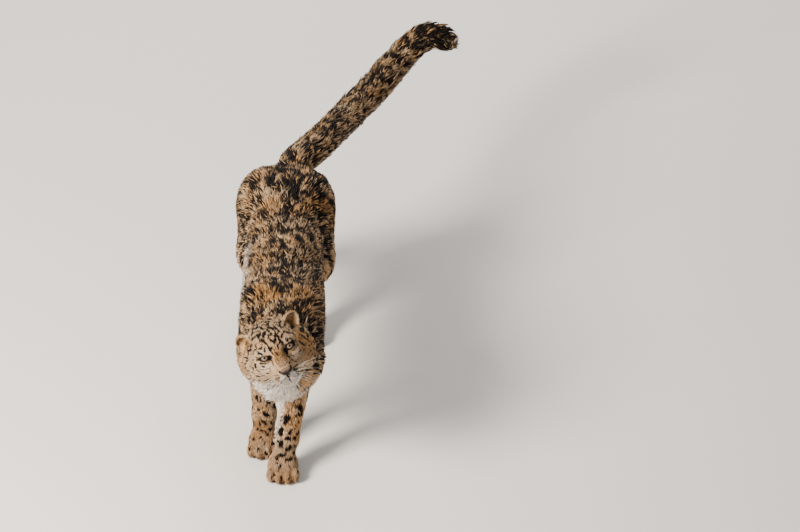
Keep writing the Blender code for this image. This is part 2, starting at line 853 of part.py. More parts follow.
def slabs_and_landmarks():
    """The thin cuts of the neck, paws and tail, and a landmark in each length that they leave."""
    slabs = [(NECK_CUT, NECK_SLOPE, 0.42)]
    landmarks = {"torso": RIBS + Vector((0, 0.12, 0)), "neck": NECK_CUT + Vector((0, -0.06, 0))}
    for side, joint in FORELEGS.items():
        elbow, wrist, sole = (Vector(joint[k]) for k in ("elbow", "wrist", "sole"))
        slabs.append((wrist + Vector((0, -0.010, -0.030)), Vector((0, -0.25, -1)), 0.11))
        landmarks[f"foreleg_lower_{side}"] = elbow.lerp(wrist, 0.65)
        landmarks[f"forepaw_{side}"] = sole + Vector((0, 0, 0.03))
    for side, joint in HIND_LEGS.items():
        hock, ankle, sole = (Vector(joint[k]) for k in ("hock", "ankle", "sole"))
        slabs.append((ankle.lerp(hock, 0.2), ankle - hock, 0.11))
        landmarks[f"hind_leg_lower_{side}"] = hock.lerp(ankle, 0.3)
        landmarks[f"hindpaw_{side}"] = sole + Vector((0, 0, 0.03))
    line = smooth_line(TAIL_POINTS, TAIL_STATIONS)
    ends = [0, *TAIL_CUTS, 1]
    for i, share in enumerate(TAIL_CUTS):
        here = round(share * (TAIL_STATIONS - 1))
        slabs.append((line[here], Vector(line[here + 1] - line[here - 1]), 0.13 if i else 0.17))
    for i in range(1, len(ends) - 1):
        middle = (ends[i] + ends[i + 1]) / 2
        landmarks[f"tail_{i}"] = line[round(middle * (TAIL_STATIONS - 1))]
    return slabs, landmarks


def egg(name, mass, collection, segments=20, rings=12):
    """A plain ellipsoid object."""
    mesh = bpy.data.meshes.new(name)
    shape = bmesh.new()
    turn = Matrix([list(axis) for axis in mass["axes"]]).transposed().to_4x4()
    place = Matrix.Translation(Vector(mass["centre"])) @ turn @ Matrix.Diagonal((*mass["radii"], 1))
    bmesh.ops.create_uvsphere(shape, u_segments=segments, v_segments=rings, radius=1, matrix=place)
    bmesh.ops.recalc_face_normals(shape, faces=shape.faces)
    shape.to_mesh(mesh)
    shape.free()
    return new_object(name, mesh, collection)


def turned_axes(axes, yaw, roll):
    """The head's directions, turned outwards by the yaw and about the new forward one by the roll."""
    f, l, u = (Vector(axis) for axis in axes)
    forward = f * math.cos(yaw) + l * math.sin(yaw)
    left = l * math.cos(yaw) - f * math.sin(yaw)
    return rows((forward, left * math.cos(roll) + u * math.sin(roll), u * math.cos(roll) - left * math.sin(roll)))


def on_face(points, masses):
    """The points slid onto the surface of the masses."""
    points = np.array([list(p) for p in points])
    for _ in range(8):
        away, outward = slope(points, masses)
        points = points - away[:, None] * outward
    return points


def tube(name, points, radius, collection):
    """A closed tube along the points, with four sides."""
    curve = bpy.data.curves.new(name, "CURVE")
    curve.dimensions = "3D"
    curve.bevel_depth = radius
    curve.bevel_resolution = 0
    curve.use_fill_caps = True
    spline = curve.splines.new("POLY")
    spline.points.add(len(points) - 1)
    for knot, point in zip(spline.points, points):
        knot.co = (*point, 1)
    wire = bpy.data.objects.new(name, curve)
    collection.objects.link(wire)
    graph = bpy.context.evaluated_depsgraph_get()
    graph.update()
    mesh = bpy.data.meshes.new_from_object(wire.evaluated_get(graph))
    shape = bmesh.new()
    shape.from_mesh(mesh)
    bmesh.ops.remove_doubles(shape, verts=shape.verts, dist=0.00001)
    bmesh.ops.recalc_face_normals(shape, faces=shape.faces)
    shape.to_mesh(mesh)
    shape.free()
    remove(wire)
    return new_object(name, mesh, collection)


def mouth_grooves(masses, cutters):
    """Cutters for the line below the nose and the line of the mouth on each side."""
    grooves = []
    for side in (-1, 1):
        line = [in_head(f, side * l, u) for f, l, u in MOUTH_LINE]
        line = smooth_line(on_face(line, masses), 9)
        grooves.append(as_cutter(tube("mouth", line, MOUTH_GROOVE, cutters)))
    return grooves


def build_head(collection, cutters):
    """Head, eyes, nose and ears."""
    masses = neck_masses() + head_masses()
    head = fused("head", masses, HEAD_VOXEL, HEAD_TRIANGLES, collection)
    clothe(head, "cheek_locks", cheek_seeds(), masses, np.random.default_rng(LOCK_SEED), cutters)
    front = head_block(-HALF_GAP, cutters)
    combine(head, front, "INTERSECT")
    remove(front)
    keep_largest(head)
    nodes = {"head": head}
    for groove in mouth_grooves(masses, cutters):
        combine(head, groove, "DIFFERENCE")
        remove(groove)
    plump = swollen(head, "plump", GAP * 1.2, cutters)
    axes = rows(HEAD_AXES)
    for side, word in ((1, "left"), (-1, "right")):
        nodes[f"ear_{word}"] = build_ear(f"ear_{word}", side, plump, collection, cutters)
        hole = ball(eye_centre(side), [EYE_RADIUS + GAP] * 3, 1, axes)
        socket = as_cutter(egg("socket", hole, cutters, 16, 8))
        slanted = turned_axes(HEAD_AXES, side * EYE_YAW, side * EYE_SLANT)
        opening = ball(
            eye_centre(side) + Vector(slanted[0]) * EYE_RADIUS,
            (EYE_RADIUS * 0.75, LID_WIDTH / 2, LID_OPENING / 2),
            1,
            slanted,
        )
        window = as_cutter(egg("window", opening, cutters, 14, 8))
        combine(head, socket, "DIFFERENCE")
        combine(head, window, "DIFFERENCE")
        remove(socket, window)
        eyeball = ball(eye_centre(side), [EYE_RADIUS] * 3, 1, axes)
        nodes[f"eye_{word}"] = egg(f"eye_{word}", eyeball, collection, 16, 8)
    nodes["nose"] = build_nose(head, collection, cutters)
    remove(plump)
    keep_largest(head)
    return nodes


def build_ear(name, side, plump, collection, cutters):
    """A round cupped ear that stands on the head."""
    axes = turned_axes(HEAD_AXES, side * EAR_YAW, side * EAR_LEAN)
    middle = in_head(EAR_FORWARD, side * EAR_SPREAD, EAR_HEIGHT)
    ear = egg(name, ball(middle, (EAR_DEPTH, EAR_WIDTH, EAR_LENGTH), 1, axes), collection, 14, 10)
    inner = (EAR_DEPTH, EAR_WIDTH - EAR_WALL, EAR_LENGTH - EAR_WALL)
    hollowed = ball(middle + Vector(axes[0]) * EAR_WALL * 1.6, inner, 1, axes)
    cup = as_cutter(egg("cup", hollowed, cutters, 14, 10))
    combine(ear, cup, "DIFFERENCE")
    combine(ear, plump, "DIFFERENCE")
    remove(cup)
    return keep_largest(ear)


def build_nose(head, collection, cutters):
    """The nose leather with its nostrils, let into the tip of the muzzle."""
    axes = rows(HEAD_AXES)
    middle = in_head(NOSE_FORWARD, 0, NOSE_HEIGHT)
    nose = egg("nose", ball(middle, NOSE_RADII, 1, axes), collection, 14, 8)
    seat = as_cutter(egg("seat", ball(middle, [r + GAP for r in NOSE_RADII], 1, axes), cutters, 14, 8))
    combine(head, seat, "DIFFERENCE")
    remove(seat)
    for side in (-1, 1):
        place = in_head(NOSE_FORWARD + NOSE_RADII[0] * 0.86, side * NOSE_RADII[1] * 0.52, NOSE_HEIGHT - 0.002)
        nostril = ball(place, (0.0050, 0.0036, 0.0028), 1, turned_axes(HEAD_AXES, side * 0.5, side * 0.5))
        hole = as_cutter(egg("nostril", nostril, cutters, 8, 6))
        combine(nose, hole, "DIFFERENCE")
        remove(hole)
    return nose


def head_block(grow, cutters):
    """The box that parts the head from the neck, square to the head's own directions."""
    f, l, u = HEAD_AXES
    return block("front", in_head(HEAD_CUT, 0, 0), (l, u, f), (-0.3, -0.22, 0), (0.3, 0.3, 0.4), grow, cutters)


def main_collection(name):
    """A collection linked to the scene."""
    made = bpy.data.collections.new(name)
    bpy.context.scene.collection.children.link(made)
    return made


def finish(thing, colour, roughness):
    """Gives an object its material and smooth shading."""
    material = bpy.data.materials.get(colour) or bpy.data.materials.new(colour)
    material.use_nodes = True
    shader = material.node_tree.nodes["Principled BSDF"]
    shader.inputs["Base Color"].default_value = COLOURS[colour]
    shader.inputs["Roughness"].default_value = roughness
    thing.data.materials.clear()
    thing.data.materials.append(material)
    thing.data.shade_smooth()


def build_body(collection, cutters):
    """Neck, torso, legs and tail."""
    masses = body_masses()
    body = fused("body", masses, BODY_VOXEL, BODY_TRIANGLES, collection)
    keep_largest(body)
    draw = np.random.default_rng(LOCK_SEED)
    clothe(body, "locks", tail_seeds() + throat_seeds() + belly_seeds(), masses, draw, cutters)
    flat_soles(body)
    front = head_block(HALF_GAP, cutters)
    combine(body, front, "DIFFERENCE")
    remove(front)
    nodes = {}
    for side, joint in FORELEGS.items():
        name = f"foreleg_upper_{side}"
        nodes[name] = take(body, name, foreleg_box(joint), collection, cutters)
    for side, joint in HIND_LEGS.items():
        name = f"hind_leg_upper_{side}"
        nodes[name] = take(body, name, hind_leg_box(joint), collection, cutters)
    slabs, landmarks = slabs_and_landmarks()
    nodes.update(part_by_slabs(body, slabs, landmarks, collection, cutters))
    return nodes


def main():
    """Builds the leopard."""
    clear_scene()
    leopard = main_collection("snow_leopard")
    cutters = main_collection("cutters")
    nodes = build_body(leopard, cutters)
    nodes.update(build_head(leopard, cutters))
    for name, node in nodes.items():
        part_of = name.split("_")[0]
        finish(node, part_of if part_of in COLOURS else "fur", 0.3 if part_of in ("eye", "nose") else 0.9)


if __name__ == "__main__":
    main()
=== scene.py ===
"""Snow leopard at life size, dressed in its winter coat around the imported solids.

The animal faces -Y, +X is its left and +Z is up, in metres, as in the solids. One skin is melted from the
same named masses as the solids and lies below their outline by the coat's depth. Tufts of solid mesh grow
from it up to that outline. Skin and coat take their markings from one function of the place on the skin.
"""

import logging
import math
from collections.abc import Callable
from dataclasses import dataclass, field
from enum import IntEnum

import bpy
import numpy as np
from mathutils import Matrix, Vector
from mathutils.kdtree import KDTree


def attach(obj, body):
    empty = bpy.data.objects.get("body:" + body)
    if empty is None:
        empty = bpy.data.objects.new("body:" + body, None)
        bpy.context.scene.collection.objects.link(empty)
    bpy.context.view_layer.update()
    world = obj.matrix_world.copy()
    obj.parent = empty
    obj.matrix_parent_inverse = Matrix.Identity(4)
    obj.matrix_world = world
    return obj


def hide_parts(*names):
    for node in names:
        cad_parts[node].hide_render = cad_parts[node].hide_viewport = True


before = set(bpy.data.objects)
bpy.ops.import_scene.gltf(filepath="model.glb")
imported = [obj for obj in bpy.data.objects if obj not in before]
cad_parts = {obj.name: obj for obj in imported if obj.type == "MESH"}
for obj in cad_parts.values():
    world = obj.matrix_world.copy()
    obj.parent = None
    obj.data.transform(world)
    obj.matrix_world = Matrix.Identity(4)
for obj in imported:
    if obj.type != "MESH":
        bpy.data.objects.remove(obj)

LOG = logging.getLogger("snow_leopard")
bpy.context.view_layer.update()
LEVEL_AXES = np.eye(3)
COAT_SEED = 23
BAKE_MAP = "OFBake"
BAKE_PATCH = 0.003
SOLE = 0.0004
# The animal's right and left
SIDES = (-1, 1)
# Millimetres in a metre
MILLIMETRES = 1000
# Least length that a direction is divided by
TINY = 1e-9
# Fineness of the primitives that roughly fill a mass
ROUGH_SIDES = 20
ROUGH_RINGS = 12
# Clouds: how many waves make one, how their lengths vary, and what levels their sum
WAVES = 6
WAVE_SPREAD = (0.7, 1.6)
WAVE_LEVEL = 2.6

# A function from points to a number for each, and what an input of a shader node takes
Rule = Callable[[np.ndarray], np.ndarray]
Feed = float | tuple | bpy.types.NodeSocket


class Zone(IntEnum):
    """Stretches of the body whose coat differs in length and lie."""

    HEAD = 0
    NECK = 1
    TRUNK = 2
    UPPER_LEG = 3
    LOWER_LEG = 4
    PAW = 5
    TAIL = 6


def soft_step(values: np.ndarray, low: float, high: float) -> np.ndarray:
    """Rise smoothly from 0 at low to 1 at high.

    Args:
        values: The numbers to grade.
        low: Where the rise starts.
        high: Where the rise ends.

    Returns:
        Numbers from 0 to 1.
    """
    share = np.clip((values - low) / (high - low), 0, 1)
    return share * share * (3 - 2 * share)


def unit(vectors: np.ndarray) -> np.ndarray:
    """Give rows of length 1 in the same directions."""
    return vectors / np.maximum(np.linalg.norm(vectors, axis=-1, keepdims=True), TINY)


def across(vectors: np.ndarray, normals: np.ndarray) -> np.ndarray:
    """Give the directions laid flat on the surfaces that the normals stand on."""
    return unit(vectors - normals * np.sum(vectors * normals, axis=1, keepdims=True))


def ripples(points: np.ndarray, size: float, seed: int) -> np.ndarray:
    """Draw smooth, cloudy variation through space.

    Args:
        points: Places to read it at.
        size: Width of a patch in metres.
        seed: Which cloud to draw.

    Returns:
        Numbers of about -1 to 1.
    """
    draw = np.random.default_rng(seed)
    total = np.zeros(len(points))
    for _ in range(WAVES):
        wave = unit(draw.normal(size=3)) * math.pi / (size * draw.uniform(*WAVE_SPREAD))
        total += np.sin(points @ wave + draw.uniform(0, math.tau))
    return total / WAVE_LEVEL


@dataclass(frozen=True)
class Ball:
    """An ellipsoid that melts into the masses before it, or is hollowed out of them."""

    centre: np.ndarray
    radii: np.ndarray
    blend: float
    axes: np.ndarray = field(default_factory=lambda: LEVEL_AXES)
    hollow: bool = False

    def reach(self, points: np.ndarray) -> np.ndarray:
        """Give how far out each point lies, where 1 is on the surface."""
        return np.linalg.norm((points - self.centre) @ self.axes.T / self.radii, axis=1)

    def away(self, points: np.ndarray) -> np.ndarray:
        """Give the distance from the surface to each point, negative inside."""
        local = (points - self.centre) @ self.axes.T
        reach = np.linalg.norm(local / self.radii, axis=1)
        steepness = np.linalg.norm(local / np.square(self.radii), axis=1)
        return reach * (reach - 1) / np.maximum(steepness, TINY)


@dataclass(frozen=True)
class Limb:
    """A round limb that tapers from start to end. Below 1, flat makes it narrower from side to side."""

    start: np.ndarray
    end: np.ndarray
    start_radius: float
    end_radius: float
    blend: float
    flat: float = 1.0
    hollow: bool = False

    def away(self, points: np.ndarray) -> np.ndarray:
        """Give the distance from the surface to each point, negative inside."""
        start = np.asarray(self.start)
        run = np.asarray(self.end) - start
        share = np.clip((points - start) @ run / (run @ run), 0, 1)
        offset = points - start - share[:, None] * run
        offset[:, 0] /= self.flat
        radius = self.start_radius + (self.end_radius - self.start_radius) * share
        return np.linalg.norm(offset, axis=1) - radius


@dataclass(frozen=True)
class Group:
    """Masses that melt together first and then into the rest."""

    masses: list
    blend: float
    hollow: bool = False

    def away(self, points: np.ndarray) -> np.ndarray:
        """Give the distance from the surface to each point, negative inside."""
        return melted(points, self.masses)


def melted(points: np.ndarray, masses: list) -> np.ndarray:
    """Measure how far points lie from the masses melted together.

    Args:
        points: Places to measure at.
        masses: Balls, limbs and groups, in their order.

    Returns:
        Distances, negative inside.
    """
    total = np.full(len(points), 1.0)
    for mass in masses:
        single = mass.away(points)
        sign = -1 if mass.hollow else 1
        total = sign * total
        overlap = np.maximum(mass.blend - np.abs(total - single), 0) / mass.blend
        total = sign * (np.minimum(total, single) - overlap * overlap * mass.blend / 4)
    return total


def slope(points: np.ndarray, masses: list) -> tuple[np.ndarray, np.ndarray]:
    """Measure distances from the melted masses and the way in which they grow.

    Args:
        points: Places to measure at.
        masses: Balls, limbs and groups.

    Returns:
        The distances, and outward directions of length 1.
    """
    step = 0.0005
    here = melted(points, masses)
    grown = [melted(points + step * axis, masses) - here for axis in LEVEL_AXES]
    return here, unit(np.stack(grown, axis=1))


def opened(masses: list) -> list:
    """Give the single balls and limbs, with the groups opened up."""
    single = []
    for mass in masses:
        single += opened(mass.masses) if isinstance(mass, Group) else [mass]
    return single


def smooth_line(points: np.ndarray, count: int) -> np.ndarray:
    """Lay evenly spaced points on a smooth curve.

    Args:
        points: Places that the curve passes.
        count: How many points to give.

    Returns:
        The points, one a row.
    """
    fineness = 24
    knots = np.array(points, float)
    knots = np.vstack([knots[0] * 2 - knots[1], knots, knots[-1] * 2 - knots[-2]])
    fine = []
    for a, b, c, d in zip(knots, knots[1:], knots[2:], knots[3:]):
        for t in np.arange(fineness) / fineness:
            bend = (a * 2 - b * 5 + c * 4 - d) * t**2 + (b * 3 - a - c * 3 + d) * t**3
            fine.append((b * 2 + (c - a) * t + bend) / 2)
    fine = np.array([*fine, knots[-2]])
    run = np.concatenate([[0], np.cumsum(np.linalg.norm(np.diff(fine, axis=0), axis=1))])
    even = np.linspace(0, run[-1], count)
    return np.stack([np.interp(even, run, fine[:, k]) for k in range(3)], axis=1)


@dataclass(frozen=True)
class Head:
    """The head: its place and tilt, and the masses of braincase, muzzle, cheeks, brow and lids."""

    centre: tuple = (-0.015, -0.055, 0.463)
    gaze_rise: float = math.radians(35)
    roll: float = math.radians(26.5)
    nod: float = math.radians(20)
    eye_spread: float = 0.0360
    eye_forward: float = 0.0610
    eye_height: float = 0.012
    eye_radius: float = 0.0148
    lid_thickness: float = 0.0026
    eye_yaw: float = math.radians(12)
    eye_slant: float = math.radians(12)
    lid_width: float = 0.0265
    lid_opening: float = 0.0121
    ear_forward: float = -0.024
    ear_spread: float = 0.066
    ear_height: float = 0.038
    ear_radii: tuple = (0.017, 0.0245, 0.030)
    ear_wall: float = 0.0045
    cup_shift: float = 1.6
    cup_thinness: float = 0.7
    ear_yaw: float = math.radians(24)
    ear_lean: float = math.radians(-36)
    nose_forward: float = 0.1255
    nose_height: float = -0.0250
    nose_radii: tuple = (0.0085, 0.0165, 0.0095)
    mouth_line: tuple = (
        (0.136, 0.0, -0.034),
        (0.130, 0.0, -0.043),
        (0.129, 0.010, -0.0465),
        (0.128, 0.022, -0.0485),
        (0.118, 0.034, -0.0475),
        (0.102, 0.040, -0.0500),
    )

    def gaze(self) -> np.ndarray:
        """Give the direction in which the animal looks."""
        return np.array([0, -math.cos(self.gaze_rise), math.sin(self.gaze_rise)])

    def axes(self) -> np.ndarray:
        """Give the head's forward, left and up directions as rows."""
        raised = self.gaze()
        over = np.array([0, math.sin(self.gaze_rise), math.cos(self.gaze_rise)])
        aside = np.array([1.0, 0, 0])
        left = aside * math.cos(self.roll) + over * math.sin(self.roll)
        rolled = over * math.cos(self.roll) - aside * math.sin(self.roll)
        forward = raised * math.cos(self.nod) - rolled * math.sin(self.nod)
        return np.array([forward, left, rolled * math.cos(self.nod) + raised * math.sin(self.nod)])

    def turned(self, yaw: float, turn: float) -> np.ndarray:
        """Give the head's directions turned outwards by the yaw and then about the forward one."""
        f, l, u = self.axes()
        forward = f * math.cos(yaw) + l * math.sin(yaw)
        left = l * math.cos(yaw) - f * math.sin(yaw)
        cos, sin = math.cos(turn), math.sin(turn)
        return np.array([forward, left * cos + u * sin, u * cos - left * sin])

    def at(self, forward: float, left: float, up: float) -> np.ndarray:
        """Give the place of a point that is named in the head's own directions."""
        return np.array(self.centre) + np.array([forward, left, up]) @ self.axes()

    def local(self, points: np.ndarray) -> np.ndarray:
        """Give points in the head's own directions."""
        return (points - np.array(self.centre)) @ self.axes().T

    def eye(self, side: int) -> np.ndarray:
        """Give the middle of an eyeball. Side is 1 on the animal's left and -1 on its right."""
        return self.at(self.eye_forward, side * self.eye_spread, self.eye_height)

    def lid_window(self, side: int) -> Ball:
        """Give the almond opening between the lids of an eye."""
        slanted = self.turned(side * self.eye_yaw, side * self.eye_slant)
        radii = (self.eye_radius * 0.75, self.lid_width / 2, self.lid_opening / 2)
        return Ball(self.eye(side) + slanted[0] * self.eye_radius, np.array(radii), 1, slanted)

    def ear_shell(self, side: int, thin: float) -> tuple[Ball, Ball]:
        """Give the outer form of an ear, less the depth of its fur, and its cup."""
        axes = self.turned(side * self.ear_yaw, side * self.ear_lean)
        middle = self.at(self.ear_forward, side * self.ear_spread, self.ear_height)
        outer = np.array(self.ear_radii) - thin
        wall = np.array([0, self.ear_wall, self.ear_wall]) - thin
        cup_radii = outer - wall * [0, self.cup_thinness, self.cup_thinness]
        cup = Ball(middle + axes[0] * self.ear_wall * self.cup_shift, cup_radii, 1, axes)
        return Ball(middle, outer, 1, axes), cup

    def masses(self) -> list:
        """Give the masses of the head, in the order in which they melt together."""
        axes = self.axes()
        at = self.at
        forms = [
            Ball(at(-0.005, 0, 0.008), (0.080, 0.068, 0.062), 0.03, axes),
            Ball(at(0.022, 0, 0.026), (0.050, 0.050, 0.042), 0.03, axes),
            Limb(at(0.000, 0, -0.050), at(0.080, 0, -0.056), 0.044, 0.028, 0.03),
        ]
        for side in SIDES:
            forms += [
                Ball(at(0.022, side * 0.046, -0.012), (0.044, 0.032, 0.030), 0.03, axes),
                Ball(at(0.002, side * 0.048, -0.036), (0.046, 0.040, 0.044), 0.03, axes),
                Ball(at(-0.020, side * 0.060, -0.036), (0.036, 0.034, 0.054), 0.03, axes),
                Limb(at(0.036, side * 0.036, -0.024), at(0.090, side * 0.017, -0.040), 0.027, 0.022, 0.02),
            ]
        forms += [
            Limb(at(0.040, 0, 0.018), at(0.108, 0, -0.024), 0.028, 0.0185, 0.018),
            Ball(at(0.097, 0, -0.062), (0.026, 0.026, 0.0175), 0.016, axes),
            Ball(at(0.117, 0, -0.031), (0.0140, 0.0170, 0.0125), 0.014, axes),
        ]
        for side in SIDES:
            lid = np.full(3, self.eye_radius + self.lid_thickness)
            forms += [
                Ball(at(0.047, side * 0.037, 0.025), (0.024, 0.024, 0.014), 0.016, axes),
                Ball(at(0.082, side * 0.035, 0.009), (0.013, 0.014, 0.010), 0.016, axes, True),
                Ball(at(0.104, side * 0.0205, -0.047), (0.0245, 0.0230, 0.0180), 0.012, axes),
                Ball(self.eye(side), lid, 0.008, axes),
            ]
        return forms


@dataclass(frozen=True)
class Leg:
    """A leg, from the body down to the middle of its flat sole."""

    top: tuple
    upper: tuple
    middle: tuple
    lower: tuple
    sole: tuple
    paw_width: float
    paw_length: float

    def paw(self) -> list:
        """Give the masses of a broad paw with four toes."""
        sole, ankle = np.array(self.sole), np.array(self.lower)
        width, length = self.paw_width, self.paw_length
        forms = [
            Limb(ankle, sole + (0, 0.010, 0.034), 0.0305, 0.033, 0.02),
            Ball(sole + (0, 0.006, 0.026), (width * 0.45, length * 0.40, 0.032), 0.02),
        ]
        for place, forward in ((-0.36, 0.20), (-0.125, 0.285), (0.125, 0.285), (0.36, 0.20)):
            middle = sole + (place * width, -forward * length, 0.018)
            forms.append(Ball(middle, (width * 0.135, length * 0.215, 0.0215), 0.007))
        return forms


@dataclass(frozen=True)
class Foreleg(Leg):
    """A foreleg: top is the shoulder blade, upper the shoulder, middle the elbow and lower the wrist."""

    paw_width: float = 0.094
    paw_length: float = 0.112

    def thick(self) -> list:
        """Give the masses of the shoulder and the upper arm."""
        return [
            Limb(self.top, self.upper, 0.045, 0.050, 0.06),
            Limb(self.upper, self.middle, 0.050, 0.043, 0.05),
        ]

    def thin(self) -> list:
        """Give the mass of the forearm."""
        return [Limb(self.middle, self.lower, 0.040, 0.0315, 0.03)]

    def masses(self) -> list:
        """Give all the masses of the leg."""
        return [*self.thick(), Group(self.thin() + self.paw(), 0.025)]


@dataclass(frozen=True)
class HindLeg(Leg):
    """A hind leg: top is the hip, upper the knee, middle the hock and lower the ankle."""

    paw_width: float = 0.084
    paw_length: float = 0.110

    def thick(self) -> list:
        """Give the masses of the thigh."""
        hip, knee = np.array(self.top), np.array(self.upper)
        return [
            Limb(hip, knee, 0.094, 0.060, 0.07, 0.66),
            Limb(hip + (0, 0.045, -0.06), knee, 0.064, 0.052, 0.06, 0.75),
        ]

    def thin(self) -> list:
        """Give the masses of the shank and of the long hind foot."""
        return [
            Limb(self.upper, self.middle, 0.053, 0.033, 0.05),
            Limb(self.middle, self.lower, 0.032, 0.034, 0.03),
        ]

    def masses(self) -> list:
        """Give all the masses of the leg."""
        return [*self.thick(), Group(self.thin() + self.paw(), 0.035)]


@dataclass(frozen=True)
class Tail:
    """The long tail: points that its middle line passes, and its radii with the fur."""

    points: tuple = (
        (0.008, 0.740, 0.448), (0.030, 0.820, 0.462), (0.089, 0.929, 0.452), (0.149, 1.078, 0.425),
        (0.196, 1.193, 0.405), (0.243, 1.287, 0.400), (0.282, 1.353, 0.410), (0.316, 1.395, 0.430),
        (0.353, 1.423, 0.455), (0.395, 1.432, 0.480), (0.440, 1.412, 0.484),
    )
    root_radius: float = 0.046
    radius: float = 0.043
    tip_radius: float = 0.036
    root_end: float = 0.3
    tip_start: float = 0.75
    stations: int = 34

    def line(self) -> np.ndarray:
        """Give the middle line as evenly spaced points."""
        return smooth_line(self.points, self.stations)

    def thickness(self, share: float) -> float:
        """Give the radius at a share of the length from root to tip."""
        swell = self.root_radius + (self.radius - self.root_radius) * min(share / self.root_end, 1)
        taper = max(share - self.tip_start, 0) / (1 - self.tip_start)
        return swell + (self.tip_radius - self.radius) * taper

    def masses(self) -> list:
        """Give the chain of short limbs."""
        line = self.line()
        forms = []
        for i in range(len(line) - 1):
            radii = [self.thickness((i + k) / (len(line) - 1)) for k in (0, 1)]
            forms.append(Limb(line[i], line[i + 1], *radii, 0.012 if i else 0.04))
        return forms

    def station(self, points: np.ndarray) -> np.ndarray:
        """Give the share of the length at which each point lies nearest to the line."""
        line = self.line()
        gaps = np.linalg.norm(points[:, None] - line[None], axis=2)
        return np.argmin(gaps, axis=1) / (len(line) - 1)


@dataclass(frozen=True)
class Body:
    """The whole animal as melted masses, whose zero level is the outline of its coat."""

    head: Head = Head()
    tail: Tail = Tail()
    withers: tuple = (0, 0.14, 0.424)
    chest: tuple = (0, 0.045, 0.345)
    ribs: tuple = (0, 0.27, 0.374)
    loin: tuple = (0, 0.49, 0.388)
    rump: tuple = (0, 0.665, 0.426)
    neck_root: tuple = (0, 0.125, 0.420)
    neck_top: tuple = (-0.016, -0.008, 0.440)
    forelegs: tuple = (
        Foreleg(
            (0.052, 0.145, 0.458), (0.044, 0.030, 0.362), (0.052, 0.150, 0.282),
            (0.010, 0.046, 0.092), (0, 0, 0),
        ),
        Foreleg(
            (-0.052, 0.160, 0.462), (-0.052, 0.055, 0.362), (-0.060, 0.186, 0.282),
            (-0.052, 0.158, 0.092), (-0.054, 0.112, 0),
        ),
    )
    hind_legs: tuple = (
        HindLeg(
            (0.074, 0.690, 0.400), (0.080, 0.590, 0.300), (0.074, 0.735, 0.172),
            (0.068, 0.668, 0.052), (0.066, 0.630, 0),
        ),
        HindLeg(
            (-0.068, 0.695, 0.400), (-0.076, 0.640, 0.285), (-0.074, 0.868, 0.205),
            (-0.070, 0.832, 0.058), (-0.066, 0.800, 0),
        ),
    )

    def trunk(self) -> list:
        """Give the masses of chest, ribs, loin and rump."""
        return [
            Ball(self.ribs, (0.116, 0.205, 0.126), 0.06),
            Ball(self.chest, (0.088, 0.100, 0.104), 0.06),
            Ball(self.loin, (0.108, 0.190, 0.108), 0.07),
            Ball(self.rump, (0.104, 0.130, 0.098), 0.06),
            Ball(self.withers, (0.074, 0.125, 0.078), 0.07),
            Ball((0, 0.40, 0.312), (0.080, 0.240, 0.066), 0.05),
        ]

    def neck(self) -> list:
        """Give the masses of the neck and of the ruff at the throat."""
        return [
            Limb(self.neck_root, self.neck_top, 0.086, 0.078, 0.06),
            Ball((-0.006, -0.004, 0.380), (0.074, 0.066, 0.084), 0.05),
        ]

    def masses(self) -> list:
        """Give all the masses, in the order in which they melt together."""
        forms = self.trunk() + self.neck()
        for leg in (*self.forelegs, *self.hind_legs):
            forms += leg.masses()
        return forms + self.tail.masses() + self.head.masses()

    def zone_masses(self) -> dict:
        """Give the masses of each zone on their own."""
        legs = (*self.forelegs, *self.hind_legs)
        return {
            Zone.HEAD: self.head.masses(),
            Zone.NECK: self.neck(),
            Zone.TRUNK: self.trunk(),
            Zone.UPPER_LEG: [mass for leg in legs for mass in leg.thick()],
            Zone.LOWER_LEG: [mass for leg in legs for mass in leg.thin()],
            Zone.PAW: [mass for leg in legs for mass in leg.paw()],
            Zone.TAIL: self.tail.masses(),
        }

    def shares(self, points: np.ndarray, softness: float = 0.012) -> np.ndarray:
        """Weigh how much of each point belongs to each zone.

        Args:
            points: Places on or near the skin.
            softness: Width of the change from one zone to the next.

        Returns:
            One column for each zone. A row sums to 1.
        """
        away = np.stack([melted(points, forms) for forms in self.zone_masses().values()], axis=1)
        nearness = np.exp(-(away - away.min(axis=1, keepdims=True)) / softness)
        return nearness / nearness.sum(axis=1, keepdims=True)


@dataclass(frozen=True)
class CoatStyle:
    """How the coat grows somewhere: depth over the skin, length and width of a tuft, and spacing."""

    depth: float
    length: float
    width: float
    spacing: float

    def row(self) -> np.ndarray:
        """Give the sizes as an array."""
        return np.array([self.depth, self.length, self.width, self.spacing])


